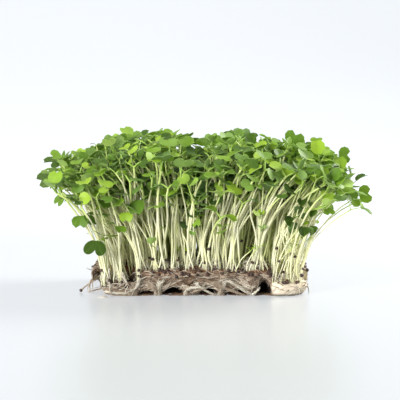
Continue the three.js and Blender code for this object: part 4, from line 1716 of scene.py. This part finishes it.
def white_sweep():
    bm = bmesh.new()
    bmesh.ops.create_grid(bm, x_segments=2, y_segments=48, size=1)
    for vert in bm.verts:
        along = vert.co.y * SWEEP_HALF[1]
        bend = max(0, along - WALL_FROM)
        turn = min(bend / WALL_BEND, math.pi / 2)
        vert.co.x *= SWEEP_HALF[0]
        vert.co.y = min(along, WALL_FROM) + WALL_BEND * math.sin(turn)
        vert.co.z = WALL_BEND * (1 - math.cos(turn)) + max(0, bend - WALL_BEND * math.pi / 2)
    mesh = bpy.data.meshes.new("table")
    bm.to_mesh(mesh)
    bm.free()
    for polygon in mesh.polygons:
        polygon.use_smooth = True
    made = bpy.data.objects.new("table", mesh)
    bpy.context.scene.collection.objects.link(made)
    return made


table = white_sweep()
table_white = new_material("table_white")
finish_material(table_white, (0.2, 0.205, 0.21, 1), 0.3, shine=0.5)
sweep_shader = table_white.node_tree.nodes["Principled BSDF"]
sweep_shader.inputs["Emission Color"].default_value = (0.92, 0.955, 1, 1)
depth = add_node(table_white, "ShaderNodeSeparateXYZ", Vector=object_place(table_white)).outputs["Y"]
own_light = add_node(table_white, "ShaderNodeMapRange", Value=depth)
own_light.inputs["From Min"].default_value = GLOW_GROWS[0]
own_light.inputs["From Max"].default_value = GLOW_GROWS[1]
own_light.inputs["To Min"].default_value = TABLE_GLOW
own_light.inputs["To Max"].default_value = WALL_GLOW
table_white.node_tree.links.new(own_light.outputs["Result"], sweep_shader.inputs["Emission Strength"])
table.data.materials.append(table_white)
table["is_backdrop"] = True


# %% Light
def area_light(name, place, aim, width, power, colour):
    lamp = bpy.data.lights.new(name, "AREA")
    lamp.shape = "DISK"
    lamp.size = width
    lamp.energy = power
    lamp.color = colour
    made = bpy.data.objects.new(name, lamp)
    bpy.context.scene.collection.objects.link(made)
    made.location = place
    made.rotation_euler = (Vector(aim) - Vector(place)).to_track_quat("-Z", "Y").to_euler()


area_light("window", (0.70, 0.36, 0.50), (0.02, 0, 0.04), 0.5, 19, (1, 0.99, 0.94))
area_light("front_fill", (-0.7, -0.85, 0.35), (0, 0, 0.04), 0.6, 19, (1, 0.99, 0.97))
world = bpy.data.worlds.new("white_room")
world.use_nodes = True
bpy.context.scene.world = world
background = world.node_tree.nodes["Background"]
background.inputs["Color"].default_value = (0.93, 0.965, 1, 1)
background.inputs["Strength"].default_value = 0.5
bpy.context.scene.view_settings.view_transform = "Standard"

# %% Measure the whole and finish
seen_low, seen_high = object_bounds()
seen_sides = [round(side / MM, 1) for side in seen_high - seen_low]
print("visual model, mm:", seen_sides, "low:", round(seen_low.z / MM, 2))
counts = {made.name: sum(len(polygon.vertices) - 2 for polygon in made.data.polygons)
          for made in bpy.data.objects if made.type == "MESH" and made.users_collection}
print("triangles in all:", sum(counts.values()), "most in one piece:", max(counts.values()))
